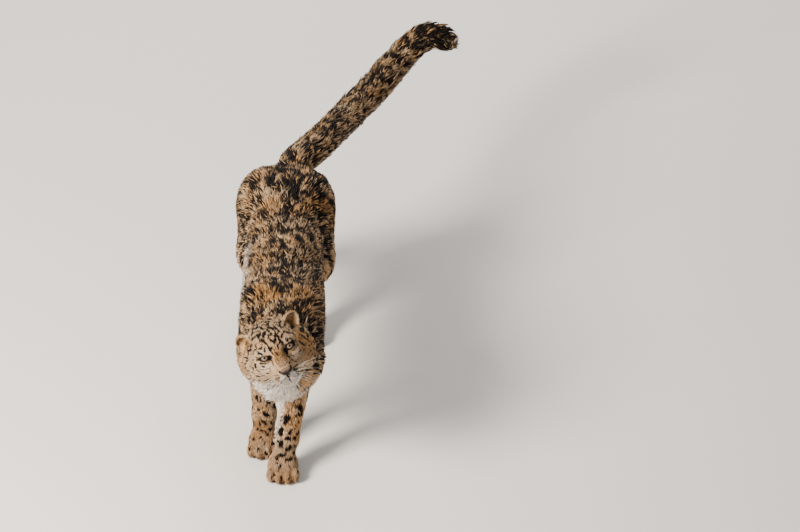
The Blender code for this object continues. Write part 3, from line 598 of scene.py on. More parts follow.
@dataclass(frozen=True)
class Growth:
    """The growth of the coat all over the body."""

    body: Body
    face: CoatStyle = CoatStyle(0.0022, 0.0060, 0.0019, 0.0017)
    crown: CoatStyle = CoatStyle(0.0050, 0.0120, 0.0027, 0.0023)
    ruff: CoatStyle = CoatStyle(0.0110, 0.0250, 0.0036, 0.0029)
    neck: CoatStyle = CoatStyle(0.0130, 0.0330, 0.0042, 0.0031)
    trunk: CoatStyle = CoatStyle(0.0150, 0.0340, 0.0047, 0.0033)
    belly: CoatStyle = CoatStyle(0.0140, 0.0480, 0.0050, 0.0038)
    upper_leg: CoatStyle = CoatStyle(0.0110, 0.0260, 0.0044, 0.0035)
    lower_leg: CoatStyle = CoatStyle(0.0060, 0.0160, 0.0036, 0.0030)
    paw: CoatStyle = CoatStyle(0.0038, 0.0100, 0.0028, 0.0025)
    tail: CoatStyle = CoatStyle(0.0130, 0.0360, 0.0048, 0.0036)
    ear: CoatStyle = CoatStyle(0.0016, 0.0065, 0.0019, 0.0013)

    def sizes(self, points: np.ndarray, shares: np.ndarray) -> np.ndarray:
        """Work out the coat's sizes at each point.

        Args:
            points: Places on or near the skin.
            shares: How much of each belongs to each zone.

        Returns:
            Depth, length, width and spacing, one row a point.
        """
        local = self.body.head.local(points)
        back = soft_step(-local[:, 0], -0.050, 0.005)[:, None]
        low = soft_step(-local[:, 2], -0.020, 0.020)[:, None]
        head = self.face.row() * (1 - back) + back * (self.crown.row() * (1 - low) + self.ruff.row() * low)
        below = soft_step(-points[:, 2], -0.31, -0.26)[:, None]
        trunk = self.trunk.row() * (1 - below) + self.belly.row() * below
        total = head * shares[:, [Zone.HEAD]] + trunk * shares[:, [Zone.TRUNK]]
        for zone, style in (
            (Zone.NECK, self.neck),
            (Zone.UPPER_LEG, self.upper_leg),
            (Zone.LOWER_LEG, self.lower_leg),
            (Zone.PAW, self.paw),
            (Zone.TAIL, self.tail),
        ):
            total = total + style.row() * shares[:, [zone.value]]
        return total

    def lie(self, points: np.ndarray, normals: np.ndarray, shares: np.ndarray) -> np.ndarray:
        """Work out which way the coat lies.

        Args:
            points: Places on or near the skin.
            normals: Outward directions there.
            shares: How much of each belongs to each zone.

        Returns:
            Directions of length 1 along the skin.
        """
        side = np.abs(normals[:, [0]])
        under = soft_step(-normals[:, 2], -0.2, 0.5)[:, None]
        head = self.body.head
        from_nose = unit(points - head.at(0.125, 0, -0.020))
        trunk = np.array([0, 1.0, 0]) + side * [0, 0, -0.45]
        neck = np.array([0, 1.0, -0.1]) * (1 - under) + np.array([0, 0.30, -1.0]) * under
        line = self.body.tail.line()
        steps = np.round(self.body.tail.station(points) * (len(line) - 1)).astype(int)
        along_tail = unit(line[np.minimum(steps + 1, len(line) - 1)] - line[np.maximum(steps - 1, 0)])
        fields = {
            Zone.HEAD: from_nose,
            Zone.NECK: neck,
            Zone.TRUNK: trunk,
            Zone.UPPER_LEG: np.array([0, 0.65, -0.75]),
            Zone.LOWER_LEG: np.array([0, 0.15, -1.0]),
            Zone.PAW: np.array([0, -0.9, -0.35]),
            Zone.TAIL: along_tail,
        }
        total = np.zeros_like(points)
        for zone, direction in fields.items():
            total += shares[:, [zone.value]] * direction
        return across(total, normals)


@dataclass(frozen=True)
class Surface:
    """Arrays of a triangle mesh: points, outward directions, triangles and their places on the unwrap."""

    points: np.ndarray
    normals: np.ndarray
    triangles: np.ndarray
    unwrapped: np.ndarray


def select(*pieces: bpy.types.Object) -> None:
    """Select these pieces alone, in object mode, with the first one active."""
    if bpy.context.object and bpy.context.object.mode != "OBJECT":
        bpy.ops.object.mode_set(mode="OBJECT")
    bpy.ops.object.select_all(action="DESELECT")
    for piece in pieces:
        piece.select_set(True)
    if pieces:
        bpy.context.view_layer.objects.active = pieces[0]


def new_object(name: str, data: bpy.types.ID) -> bpy.types.Object:
    """Put mesh, lamp or camera data into the scene."""
    thing = bpy.data.objects.new(name, data)
    bpy.context.scene.collection.objects.link(thing)
    return thing


def apply_modifiers(piece: bpy.types.Object) -> None:
    """Apply every modifier of a piece."""
    select(piece)
    for modifier in list(piece.modifiers):
        bpy.ops.object.modifier_apply(modifier=modifier.name)


def add_rough(mass: Ball | Limb) -> list:
    """Add the primitives that roughly fill a mass.

    Args:
        mass: The ball or limb to fill.

    Returns:
        The new objects.
    """
    if isinstance(mass, Ball):
        bpy.ops.mesh.primitive_uv_sphere_add(segments=ROUGH_SIDES, ring_count=ROUGH_RINGS, radius=1)
        rough = bpy.context.object
        turn = Matrix([list(axis) for axis in mass.axes]).transposed().to_4x4()
        size = Matrix.Diagonal((*mass.radii, 1))
        rough.matrix_world = Matrix.Translation(Vector(mass.centre)) @ turn @ size
        return [rough]
    start, end = Vector(mass.start), Vector(mass.end)
    squeeze = Matrix.Diagonal((mass.flat, 1, 1, 1))
    bpy.ops.mesh.primitive_cone_add(
        vertices=ROUGH_SIDES, radius1=mass.start_radius, radius2=mass.end_radius, depth=(end - start).length
    )
    turn = (end - start).to_track_quat("Z", "Y").to_matrix().to_4x4()
    bpy.context.object.matrix_world = Matrix.Translation((start + end) / 2) @ squeeze @ turn
    made = [bpy.context.object]
    for centre, radius in ((start, mass.start_radius), (end, mass.end_radius)):
        bpy.ops.mesh.primitive_uv_sphere_add(segments=ROUGH_SIDES, ring_count=ROUGH_RINGS, radius=radius)
        bpy.context.object.matrix_world = Matrix.Translation(centre) @ squeeze
        made.append(bpy.context.object)
    return made


def read_rows(
    items: bpy.types.bpy_prop_collection, name: str, width: int, kind: type = float
) -> np.ndarray:
    """Read a property of every item of a mesh.

    Args:
        items: The mesh's points, edges, faces or corners.
        name: The property.
        width: How many numbers it has.
        kind: Their type.

    Returns:
        The numbers, one row an item.
    """
    values = np.empty(len(items) * width, kind)
    items.foreach_get(name, values)
    return values.reshape(-1, width)


def mesh_points(piece: bpy.types.Object) -> np.ndarray:
    """Give the points of a piece's mesh, one a row."""
    return read_rows(piece.data.vertices, "co", 3)


def move_points(piece: bpy.types.Object, points: np.ndarray) -> None:
    """Set the points of a piece's mesh."""
    piece.data.vertices.foreach_set("co", points.ravel())
    piece.data.update()


def faired(points: np.ndarray, edges: np.ndarray, strength: float) -> np.ndarray:
    """Move each point part of the way to the mean of its neighbours.

    Args:
        points: Points of a mesh.
        edges: Pairs of point numbers.
        strength: The part of the way, from 0 to 1.

    Returns:
        The moved points.
    """
    total = np.zeros_like(points)
    count = np.bincount(edges.ravel(), minlength=len(points))
    for k in range(3):
        total[:, k] = np.bincount(edges[:, 0], points[edges[:, 1], k], len(points))
        total[:, k] += np.bincount(edges[:, 1], points[edges[:, 0], k], len(points))
    return points + strength * (total / np.maximum(count, 1)[:, None] - points)


class Modeller:
    """Melts masses into one closed mesh."""

    longest_step = 0.02

    def __init__(self, masses: list, voxel: float) -> None:
        """Keep the masses and the fineness of the first mesh."""
        self.masses = masses
        self.voxel = voxel

    def rough(self, name: str) -> bpy.types.Object:
        """Join primitives that fill the masses, and fuse them into one mesh."""
        select()
        made = []
        for mass in opened(self.masses):
            if not mass.hollow:
                made += add_rough(mass)
        select(*made)
        bpy.ops.object.join()
        bpy.ops.object.transform_apply(location=True, rotation=True, scale=True)
        piece = bpy.context.object
        piece.name = piece.data.name = name
        remesh = piece.modifiers.new("fuse", "REMESH")
        remesh.mode = "VOXEL"
        remesh.voxel_size = self.voxel
        apply_modifiers(piece)
        return piece

    def settle(
        self, piece: bpy.types.Object, depth: Rule, rounds: int, strength: float, part: Rule | None = None
    ) -> None:
        """Bring the mesh's points to a depth below the outline.

        Args:
            piece: The mesh to move.
            depth: Function from points to their depth.
            rounds: How often the points are faired and moved.
            strength: How far each point is faired.
            part: Function from points to True where they may move. All move without it.
        """
        points = mesh_points(piece)
        edges = read_rows(piece.data.edges, "vertices", 2, np.int64)
        chosen = np.flatnonzero(part(points)) if part else np.arange(len(points))
        for _ in range(rounds):
            moved = faired(points, edges, strength)[chosen]
            away, outward = slope(moved, self.masses)
            step = np.clip(away + depth(moved), -self.longest_step, self.longest_step)
            points[chosen] = moved - step[:, None] * outward
        move_points(piece, points)


def refine(piece: bpy.types.Object, wanted: Rule) -> None:
    """Split the faces of part of a mesh once.

    Args:
        piece: The mesh.
        wanted: Function from face centres to True where they are split.
    """
    select(piece)
    chosen = wanted(read_rows(piece.data.polygons, "center", 3))
    bpy.ops.object.mode_set(mode="EDIT")
    bpy.ops.mesh.select_mode(type="FACE")
    bpy.ops.mesh.select_all(action="DESELECT")
    bpy.ops.object.mode_set(mode="OBJECT")
    piece.data.polygons.foreach_set("select", chosen)
    bpy.ops.object.mode_set(mode="EDIT")
    bpy.ops.mesh.subdivide(number_cuts=1)
    bpy.ops.object.mode_set(mode="OBJECT")


def add_ellipsoid(name: str, ball: Ball, segments: int, rings: int) -> bpy.types.Object:
    """Add a closed ellipsoid whose poles lie on the ball's first axis."""
    select()
    bpy.ops.mesh.primitive_uv_sphere_add(segments=segments, ring_count=rings, radius=1)
    piece = bpy.context.object
    piece.name = piece.data.name = name
    pole, second, third = ball.axes
    turn = Matrix([list(second), list(third), list(pole)]).transposed().to_4x4()
    size = Matrix.Diagonal((ball.radii[1], ball.radii[2], ball.radii[0], 1))
    piece.data.transform(Matrix.Translation(Vector(ball.centre)) @ turn @ size)
    piece.data.update()
    return piece


def combine(piece: bpy.types.Object, other: bpy.types.Object, operation: str) -> None:
    """Apply a Boolean with another piece, and delete that one."""
    boolean = piece.modifiers.new(operation, "BOOLEAN")
    boolean.operation = operation
    boolean.solver = "EXACT"
    boolean.object = other
    apply_modifiers(piece)
    bpy.data.objects.remove(other)


class Skin:
    """One skin for all the flesh, below the coat's outline by the coat's depth."""

    voxel = 0.0056
    ear_fur = 0.0012
    groove_depth = 0.0020
    groove_radius = 0.0013
    groove_blend = 0.0015
    groove_points = 12
    groove_rounds = 6
    window_sides = 48
    # Parts of the head: place forward, reach that is split finer, reach that is moved and its fairing
    finer_parts = ((0.050, 0.120, 0.130, 0.4), (0.075, 0.068, 0.075, 0.3))

    def __init__(self, body: Body, growth: Growth) -> None:
        """Keep the forms."""
        self.body = body
        self.growth = growth
        self.piece = None

    def depth(self, points: np.ndarray) -> np.ndarray:
        """Give how deep the skin lies below the coat's outline."""
        return self.growth.sizes(points, self.body.shares(points))[:, 0]

    def head_part(self, forward: float, reach: float) -> Rule:
        """Give a function that marks the points within a reach of a middle so far forward in the head."""
        middle = self.body.head.at(forward, 0, -0.020)
        return lambda points: np.linalg.norm(points - middle, axis=1) < reach

    def mouth(self) -> list:
        """Give narrow hollows along the line of the mouth."""
        hollows = []
        head, masses = self.body.head, self.body.masses()
        for side in SIDES:
            line = [head.at(f, side * l, u) for f, l, u in head.mouth_line]
            points = smooth_line(line, self.groove_points)
            for _ in range(self.groove_rounds):
                away, outward = slope(points, masses)
                points = points - (away + self.groove_depth)[:, None] * outward
            for a, b in zip(points, points[1:]):
                hollows.append(Limb(a, b, *[self.groove_radius] * 2, self.groove_blend, hollow=True))
        return hollows

    def build(self) -> Surface:
        """Model the skin, cut the lids open, fuse the ears on and unwrap it.

        Returns:
            The skin's arrays.
        """
        modeller = Modeller(self.body.masses(), self.voxel)
        piece = modeller.rough("skin")
        modeller.settle(piece, self.depth, 4, 0.5)
        modeller.masses = modeller.masses + self.mouth()
        for forward, split, moved, strength in self.finer_parts:
            refine(piece, self.head_part(forward, split))
            modeller.settle(piece, self.depth, 2, strength, self.head_part(forward, moved))
        points = mesh_points(piece)
        points[:, 2] = np.maximum(points[:, 2], SOLE)
        move_points(piece, points)
        head, sides = self.body.head, self.window_sides
        for side in SIDES:
            combine(piece, add_ellipsoid("window", head.lid_window(side), sides, sides // 2), "DIFFERENCE")
            outer, cup = head.ear_shell(side, self.ear_fur)
            ear = add_ellipsoid("ear", outer, sides, sides * 2 // 3)
            combine(ear, add_ellipsoid("cup", cup, sides, sides * 2 // 3), "DIFFERENCE")
            combine(piece, ear, "UNION")
        select(piece)
        bpy.ops.object.mode_set(mode="EDIT")
        bpy.ops.mesh.select_all(action="SELECT")
        bpy.ops.mesh.quads_convert_to_tris()
        bpy.ops.uv.smart_project(angle_limit=math.radians(75), island_margin=0.004)
        bpy.ops.object.mode_set(mode="OBJECT")
        piece.data.uv_layers[0].name = BAKE_MAP
        piece.data.shade_smooth()
        self.piece = piece
        return self.surface()

    def surface(self) -> Surface:
        """Read the skin's arrays."""
        mesh = self.piece.data
        return Surface(
            mesh_points(self.piece),
            read_rows(mesh.vertex_normals, "vector", 3),
            read_rows(mesh.loops, "vertex_index", 1, np.int64).reshape(-1, 3),
            read_rows(mesh.uv_layers[BAKE_MAP].data, "uv", 2).reshape(-1, 3, 2),
        )


def tree_of(points: np.ndarray) -> KDTree:
    """Put points into a tree that finds the nearest ones."""
    tree = KDTree(len(points))
    for number, point in enumerate(points):
        tree.insert(point, number)
    tree.balance()
    return tree


@dataclass(frozen=True)
class Spots:
    """Spots and rings on the skin, each with its own flat directions and shape."""

    centres: np.ndarray
    along: np.ndarray
    aside: np.ndarray
    ring: np.ndarray
    band: np.ndarray
    stretch: np.ndarray
    turn: np.ndarray
    edge: np.ndarray

    def cover(self, points: np.ndarray) -> np.ndarray:
        """Work out how dark the nearest spots make each point.

        Args:
            points: Places on the skin.

        Returns:
            Numbers from 0, bare, to 1, fully marked.
        """
        tree = tree_of(self.centres)
        nearest = np.array([[found[1] for found in tree.find_n(point, 3)] for point in points])
        total = np.zeros(len(points))
        for spot in nearest.T:
            offset = points - self.centres[spot]
            x = np.sum(offset * self.along[spot], axis=1) / self.stretch[spot]
            y = np.sum(offset * self.aside[spot], axis=1)
            reach, turn = np.hypot(x, y), self.turn[spot]
            out = np.linalg.norm(offset, axis=1) - np.hypot(x * self.stretch[spot], y)
            bearing = np.arctan2(y, x) + turn
            ring = self.ring[spot] * (1 + 0.14 * np.sin(2 * bearing + turn))
            broken = 0.72 + 0.40 * np.sin(5 * bearing) + 0.22 * np.sin(3 * bearing + 2 * turn)
            plain = 0.92 + 0.16 * np.sin(3 * bearing)
            band = self.band[spot] * np.where(self.ring[spot] > 0, broken, plain)
            gap = np.abs(reach - ring) - band + np.maximum(out, 0)
            dusk = 0.34 * (reach < ring) * (out < 0.01)
            total = np.max([total, 1 - soft_step(gap / self.edge[spot], -1, 1), dusk], axis=0)
        return total


# Each mark: half its width, its darkness and the places that its line passes, in millimetres
# Most face marks are the coat's own markings; a few are painted shade, inside the right ear, along an edge of
# the nose bridge and under the chin
FACE_MARKS = (
    (1.4, 0.8, -78, -11, -80, -16), (1.1, 1, -31, 33, -23, 39), (1.4, 1, -24, 31, -19, 33),
    (1.5, 1, -19, 26, -18, 23, -16, 19), (1.2, 0.9, -33, 19, -28, 24), (1.4, 0.9, -25, 14, -30, 4),
    (1.5, 1, -15, 10, -16, 3, -15, -6, -14, -12), (1.2, 1, -10, 2), (1.2, 1, -4, -3), (1.1, 0.9, 1, 0),
    (1.1, 0.9, 3, 7), (1.2, 0.9, 9, 4, 9, 0, 8, -4), (1.1, 0.8, -6, 8), (1.2, 0.8, -6, -10, 0, -20),
    (1.5, 0.9, 13, 24, 9, 14), (1.5, 1, -1, 26, 2, 18), (2, 0.9, 20, 15, 22, 8, 25, -1),
    (2, 1, 39, 7, 38, 4), (1.4, 1, 46, 7, 50, 3, 53, -3), (1.5, 1, 59, -6, 59, -9),
    (1.4, 0.9, 71, -3, 76, -10), (1.8, 1, 67, -13, 69, -20, 75, -28), (1.6, 1, 80, -25, 80, -29),
    (1.4, 1, 52, -18), (1.1, 0.9, 59, -18, 59, -22), (1.1, 0.8, 53, -39, 61, -35),
    (1.1, 0.8, 65, -40, 69, -38), (1.6, 1, 21, -31, 25, -38), (1.2, 0.9, 30, -34, 36, -41),
    (1.4, 0.9, 28, -46, 32, -53, 36, -57), (1.2, 0.8, 41, -53), (1.4, 0.8, 18, -53, 20, -51),
    (1.1, 0.9, 21, -69, 29, -66, 36, -64), (1.2, 1, 20, -75, 28, -74, 38, -73),
    (1.2, 0.9, 22, -83, 30, -80), (1.6, 1, 23, -92, 30, -86), (2, 1, 32, -101, 33, -109),
    (1.6, 0.9, 49, -101, 44, -106), (2.2, 1, 8, -117, 9, -121), (2, 1, -3, -120, 0, -120),
    (1.6, 0.8, 20, -118), (2.2, 1, 17, -62, 12, -66, 6, -71, 0, -78, -1, -85),
    (1.7, 1, -19, -61, -17, -65, -10, -70, -7, -75, -1, -78), (1, 0.9, -1, -85, 6, -88, 23, -93),
    (1, 0.9, -2, -86, -2, -92, -1, -99), (0.8, 0.8, -2, -86, -11, -93),
    (1, 0.9, -3, -87, -17, -91, -26, -91), (1, 0.7, -37, -64, -24, -68), (1.2, 0.9, -38, -72, -25, -76),
    (1, 0.8, -37, -79, -27, -81), (1.6, 1, -31, -86, -26, -91), (1.2, 0.9, -70, -44, -67, -47),
    (1.1, 0.7, -68, -34), (1.4, 0.8, -56, -19, -52, -22, -39, -28),
    (1, 0.6, -63, -28, -61, -35, -53, -40, -40, -40), (1.2, 0.7, -34, -37, -40, -48, -41, -53),
    (1.4, 0.8, -25, -30, -26, -39), (1.2, 0.6, -22, -44), (1.4, 0.8, -21, -54),
    (1.6, 1, -44, -11, -53, -8, -61, -8), (1.6, 1, -27, -18, -25, -25), (1.6, 0.9, -49, 5, -46, 11),
    (1.5, 1, -44, 7, -39, -1), (1.1, 0.9, -60, -1, -56, 0), (1.9, 1, 28, -8, 24, -21, 24, -26),
    # The second mark on this line, of darkness 0.5, is the painted shadow under the chin
    (1.6, 1, 31, -6, 41, -6, 49, -6), (2.2, 0.5, -35, -98, -25, -109, -13, -117),
    (1.5, 0.9, -54, -28, -49, -32), (1.4, 0.9, -71, -31, -68, -38), (1.4, 0.8, -90, -28, -84, -38),
    (1.2, 0.8, -66, -52, -57, -57), (1.2, 0.8, -53, -50, -46, -54), (1.2, 0.8, -77, 60, -67, 60, -55, 51),
    (1.5, 1, -75, 29, -69, 26, -61, 25), (2.3, 1, -72, 23, -77, 15), (1.6, 0.9, -90, 29, -89, 25),
    (1.4, 0.9, -87, 13, -81, 8), (1.5, 0.8, -92, 3, -85, 3), (1.6, 0.9, -68, 0, -71, -5),
    (1.4, 0.8, -77, -8), (2.6, 1, -69, -16, -71, -22), (2.4, 1, -79, -23, -80, -25), (1.4, 0.8, -94, -18),
    (1.6, 0.8, -53, 22, -58, 16, -62, 9), (1.4, 0.9, -45, 33, -46, 28), (1.9, 0.9, -81, -46, -73, -51),
    (1.4, 0.8, -66, -69, -51, -69), (2.4, 1, 82, 42, 84, 33, 94, 24, 98, 15), (4.1, 1, 87, 13, 86, 9),
    (2.4, 1, 70, 31, 64, 30), (1.8, 1, 44, 29, 54, 20, 64, 7), (3.2, 1, 112, 7, 113, -1),
    (2.2, 0.9, 96, -8, 96, -11), (2.4, 0.9, 107, -20, 105, -27), (1.4, 0.9, 75, -53, 73, -58),
    (1.9, 1, 59, -92, 71, -93), (2.4, 1, 49, -120, 57, -119, 63, -112), (3, 0.9, 42, -128, 40, -145),
    (4.3, 1, 93, -64, 86, -81, 76, -99, 68, -108), (3.8, 1, 104, -45, 103, -56), (1.6, 1, -22, 63, -17, 62),
    (1.6, 0.9, -22, 56, -18, 56), (2.2, 1, -31, 55, -22, 49), (1.4, 0.9, -11, 62, -4, 59),
    (1.9, 1, -12, 50, -5, 52), (2.2, 1, -15, 45, -15, 40), (1.6, 0.8, 2, 65), (1.4, 0.9, 1, 52, 5, 46),
    (2.2, 1, 7, 59, 17, 51), (2.2, 1, 0, 39), (1.6, 0.9, 7, 41, 9, 38), (1.9, 1, 25, 50, 25, 45),
    (1.6, 0.9, 22, 58), (1.4, 0.9, 26, 71, 31, 68), (1.4, 0.9, 28, 64, 34, 61), (1.2, 0.8, 18, 45, 20, 41),
    (1.4, 0.9, 18, 36, 25, 33), (1.6, 1, 13, 30, 18, 29), (1.4, 1, 21, 26, 29, 19),
    (1.6, 1, 21, 91, 32, 86), (3, 1, 37, 97, 48, 93, 65, 82), (3.2, 1, 18, 115, 26, 110),
    (2.2, 1, -2, 103, 8, 99), (1.9, 0.8, -10, 96, -14, 92), (2.2, 0.9, -15, 101, -17, 98),
    (2.4, 0.9, -4, 117), (1.9, 0.9, -14, 124), (1.5, 0.8, -27, 84, -41, 64, -44, 59), (1.6, 0.8, -26, 100),
    (1.6, 0.9, 56, 79, 60, 76), (1.2, 0.9, 60, 70, 48, 64, 40, 53, 38, 45, 52, 36),
    (2.4, 0.9, 63, 49, 68, 53), (2.2, 1, 89, 50, 88, 33), (4.6, 1, 102, 56, 99, 41),
    (3.2, 1, 78, 83, 83, 80),
)
BACK_MARKS = (
    (3.2, 1, -4, 240, 9, 200), (3.2, 1, -3, 259, -1, 224), (3.6, 1, -20, 152, -10, 142, 1, 129),
    (3.2, 1, -40, 164, -28, 154, -16, 141), (2.7, 1, -1, 122, -3, 102, -3, 78, -2, 53),
    (3.6, 1, 2, 125, 12, 143, 27, 150), (4.1, 1, 32, 147, 45, 161, 56, 164),
    (2.7, 1, 69, 182, 82, 223, 97, 280), (2.7, 1, 98, 279, 102, 268), (2.3, 1, 3, 110, 17, 120),
    (2, 1, -91, 142, -77, 133), (2.3, 1, -56, 127, -48, 113), (2.7, 1, -68, 115, -57, 110, -52, 111),
    (2.3, 0.9, -89, 117, -82, 113), (3.2, 1, -48, 76, -44, 69), (2.7, 1, -45, 88, -37, 88, -21, 80),
    (2.7, 1, -14, 68, -12, 69), (2.3, 1, -25, 48, -14, 48, 2, 39),
    (2.3, 1, -79, 60, -74, 61, -65, 57, -57, 51), (2.7, 1, -75, 49, -72, 52), (1.8, 0.9, -38, 33, -31, 29),
    (2, 0.9, -76, 6, -78, -17, -79, -55), (3.2, 1, 17, 64, 22, 55), (3.2, 1, 30, 85, 41, 84, 48, 90),
    (2.7, 1, 55, 85, 64, 85, 72, 97), (2.7, 1, 57, 96, 70, 101), (2.7, 1, 42, 58, 53, 67, 64, 66),
    (3.6, 1, 46, 49, 55, 44), (1.8, 1, 44, 39, 35, 45, 29, 45), (2.3, 0.9, 64, 41, 75, 56, 84, 51, 86, 35),
    (2.7, 1, 53, 8, 64, 27), (3.6, 1, 57, -26, 60, -14), (2.3, 1, 52, -57, 65, -55, 77, -54),
    (1.8, 1, -118, 58, -108, 37, -91, -37), (2.3, 0.9, 92, 79, 99, 81),
    (2.3, 0.8, -114, 127, -106, 99, -109, 89), (1.8, 0.8, -99, 72, -90, 63), (2.3, 0.9, -91, 252, -84, 255),
    (2.3, 0.9, -78, 275, -73, 258), (1.8, 0.9, -90, 310, -81, 298, -73, 277),
    (2.3, 0.9, -62, 276, -50, 240, -54, 193), (2.3, 0.9, -29, 183, -23, 167),
    (2.3, 0.9, 15, 215, 33, 217, 51, 228), (2.3, 1, 51, 234, 64, 235), (7.4, 1, -7, 772, -5, 728, 1, 691),
    (6.4, 1, 7, 656, 13, 632, 18, 610), (4.4, 1, -7, 588, -4, 579), (5.9, 1, 10, 576, 11, 563),
    (6.4, 1, 12, 537, 14, 522), (4.9, 1, -9, 491, -8, 482), (3.4, 1, -15, 397, -7, 414),
    (4.9, 1, -3, 405, 0, 378, 2, 365), (5.4, 1, -1, 320, 1, 276, 0, 244), (6.4, 1, 0, 239, 10, 217),
    (4.4, 0.9, -35, 692, -36, 657), (3.9, 0.9, -40, 646, -29, 624, -20, 622),
    (4.4, 0.9, -53, 722, -43, 727), (3.9, 1, 45, 667, 46, 645),
    (3.9, 0.9, 59, 675, 67, 669, 70, 652, 67, 635), (3.9, 0.9, 65, 619, 62, 609),
    (4.4, 0.9, 30, 599, 43, 614, 55, 620), (3.4, 0.9, 30, 593, 36, 572), (3.9, 0.9, 20, 596, 33, 609),
    (4.4, 0.9, 31, 545, 38, 530), (3.9, 0.9, 21, 527, 19, 534), (4.4, 0.9, 15, 450, 32, 464, 47, 464),
    (3.9, 0.9, 47, 429, 57, 393, 55, 369), (3.9, 0.9, 40, 411, 44, 445),
    (4.4, 0.9, 66, 532, 70, 551, 63, 557), (2.9, 0.9, -97, 627, -92, 610), (3.4, 0.9, -69, 608, -66, 593),
    (3.4, 0.9, -94, 603, -79, 586), (3.4, 0.9, -71, 558, -56, 534, -51, 534),
    (3.9, 0.8, -83, 486, -77, 451, -84, 445), (3.4, 0.8, -91, 554, -78, 506),
    (2.9, 0.8, -41, 512, -45, 489, -35, 466), (3.4, 0.8, -30, 455, -32, 442),
    (3.9, 0.8, -37, 414, -34, 386), (3.4, 0.8, -99, 412, -94, 412, -86, 377),
    (3.4, 0.8, -98, 378, -88, 345), (3.4, 0.8, -31, 344, -23, 328), (3.4, 0.8, -18, 477, -12, 445),
    (3.4, 0.8, 95, 622, 92, 587), (3.9, 0.9, 105, 595, 102, 556), (4.9, 0.9, 131, 659, 136, 656),
    (4.4, 0.9, 134, 640, 134, 620), (3.4, 0.9, 80, 519, 90, 507), (4.4, 0.9, 96, 422, 99, 371),
)
FORELEG_MARKS = (
    (3.2, 1, -75, 157, -67, 147), (3.2, 1, -49, 158, -45, 153), (4.5, 1, -38, 149, -37, 138),
    (3.6, 1, -52, 112, -43, 104), (2.7, 1, -57, 90, -49, 84, -45, 81), (2.3, 1, -72, 120, -66, 115),
    (2.3, 0.9, -66, 86, -64, 78), (2.7, 1, -72, 68, -69, 70), (2.3, 1, -61, 69, -49, 67),
    (2.7, 1, -37, 68, -32, 67), (2.7, 1, -43, 61, -39, 59), (2.3, 1, -32, 81, -29, 78),
    (1.8, 0.9, -64, 54, -60, 58), (2.7, 1, 31, 185, 49, 180), (5.4, 1, 51, 172, 53, 158),
    (3.2, 1, 40, 161, 51, 157), (2.3, 0.9, -7, 151, -5, 144), (5, 1, 11, 157, 6, 146),
    (3.6, 1, 17, 119, 23, 123), (4.5, 1, 11, 108, 17, 107), (3.2, 1, 32, 103, 35, 106),
    (2.7, 1, -16, 93, -15, 96), (5.4, 1, -7, 89, -5, 98), (4.1, 1, 12, 80, 22, 83),
    (2.7, 1, 33, 79, 36, 81), (3.2, 1, -12, 66, -3, 68, 6, 69), (2.7, 1, -21, 62, -16, 59),
    (3.2, 1, 11, 60, 20, 58, 25, 58), (3.2, 1, 31, 64, 33, 63), (2.3, 1, 35, 51, 36, 50),
    (2.7, 1, 40, 111, 46, 108), (1.8, 1, -19, 53, -15, 53), (2.3, 1, -5, 51, -7, 46),
    (1.8, 0.9, 17, 47, 22, 43), (1.8, 0.9, -37, 47, -36, 49), (1.8, 0.9, -37, 38, -34, 39),
    (2, 1, -29, 22, -23, 29), (2.3, 1, -7, 12, -3, 26), (1.8, 1, 16, 21, 20, 25),
    (1.8, 0.9, -13, 39, -11, 44), (1.4, 0.9, -52, 39, -49, 47), (1.4, 0.9, -58, 48, -56, 53),
)


@dataclass(frozen=True)
class Drawing:
    """Marks drawn flat, in millimetres, and laid on the outline from one side of the animal.

    Each mark is its half width, its darkness and the places that its line passes.
    """

    marks: tuple
    origin: np.ndarray
    across: np.ndarray
    upwards: np.ndarray
    softness: float
    boldness: float
    # How the marks are brought down to the outline: how often, how far at most and by what share
    rounds: int = 60
    longest_step: float = 0.05
    eagerness: float = 0.9

    def lines(self, masses: list) -> list:
        """Lay every mark on the outline.

        Args:
            masses: The masses of the body.

        Returns:
            Its half width, darkness and points in space.
        """
        towards = np.cross(self.across, self.upwards)
        flat = np.concatenate([np.array(mark[2:]).reshape(-1, 2) for mark in self.marks]) / MILLIMETRES
        points = self.origin + flat[:, :1] * self.across + flat[:, 1:] * self.upwards + towards
        for _ in range(self.rounds):
            step = np.clip(melted(points, masses), 0, self.longest_step)
            points = points - towards * step[:, None] * self.eagerness
        ends = np.cumsum([len(mark) // 2 - 1 for mark in self.marks])
        found = zip(self.marks, np.split(points, ends[:-1]))
        return [(mark[0] * self.boldness / MILLIMETRES, mark[1], line) for mark, line in found]

    def cover(self, points: np.ndarray, lines: list) -> np.ndarray:
        """Work out how dark the marks make each point.

        Args:
            points: Places near the outline.
            lines: The marks, laid on the outline.

        Returns:
            Numbers from 0, bare, to 1, fully marked.
        """
        total = np.zeros(len(points))
        for width, dark, line in lines:
            low, high = line.min(axis=0) - width * 2, line.max(axis=0) + width * 2
            near = np.flatnonzero(np.all((points > low) & (points < high), axis=1))
            ends = zip(line, line[1:]) if len(line) > 1 else [(line[0], line[0] + 1e-6)]
            gaps = np.full(len(near), 1.0)
            for start, end in ends:
                gaps = np.minimum(gaps, Limb(start, end, 0, 0, 1).away(points[near]))
            edge = width * self.softness
            total[near] = np.maximum(total[near], dark * (1 - soft_step(gaps, width - edge, width + edge)))
        return total


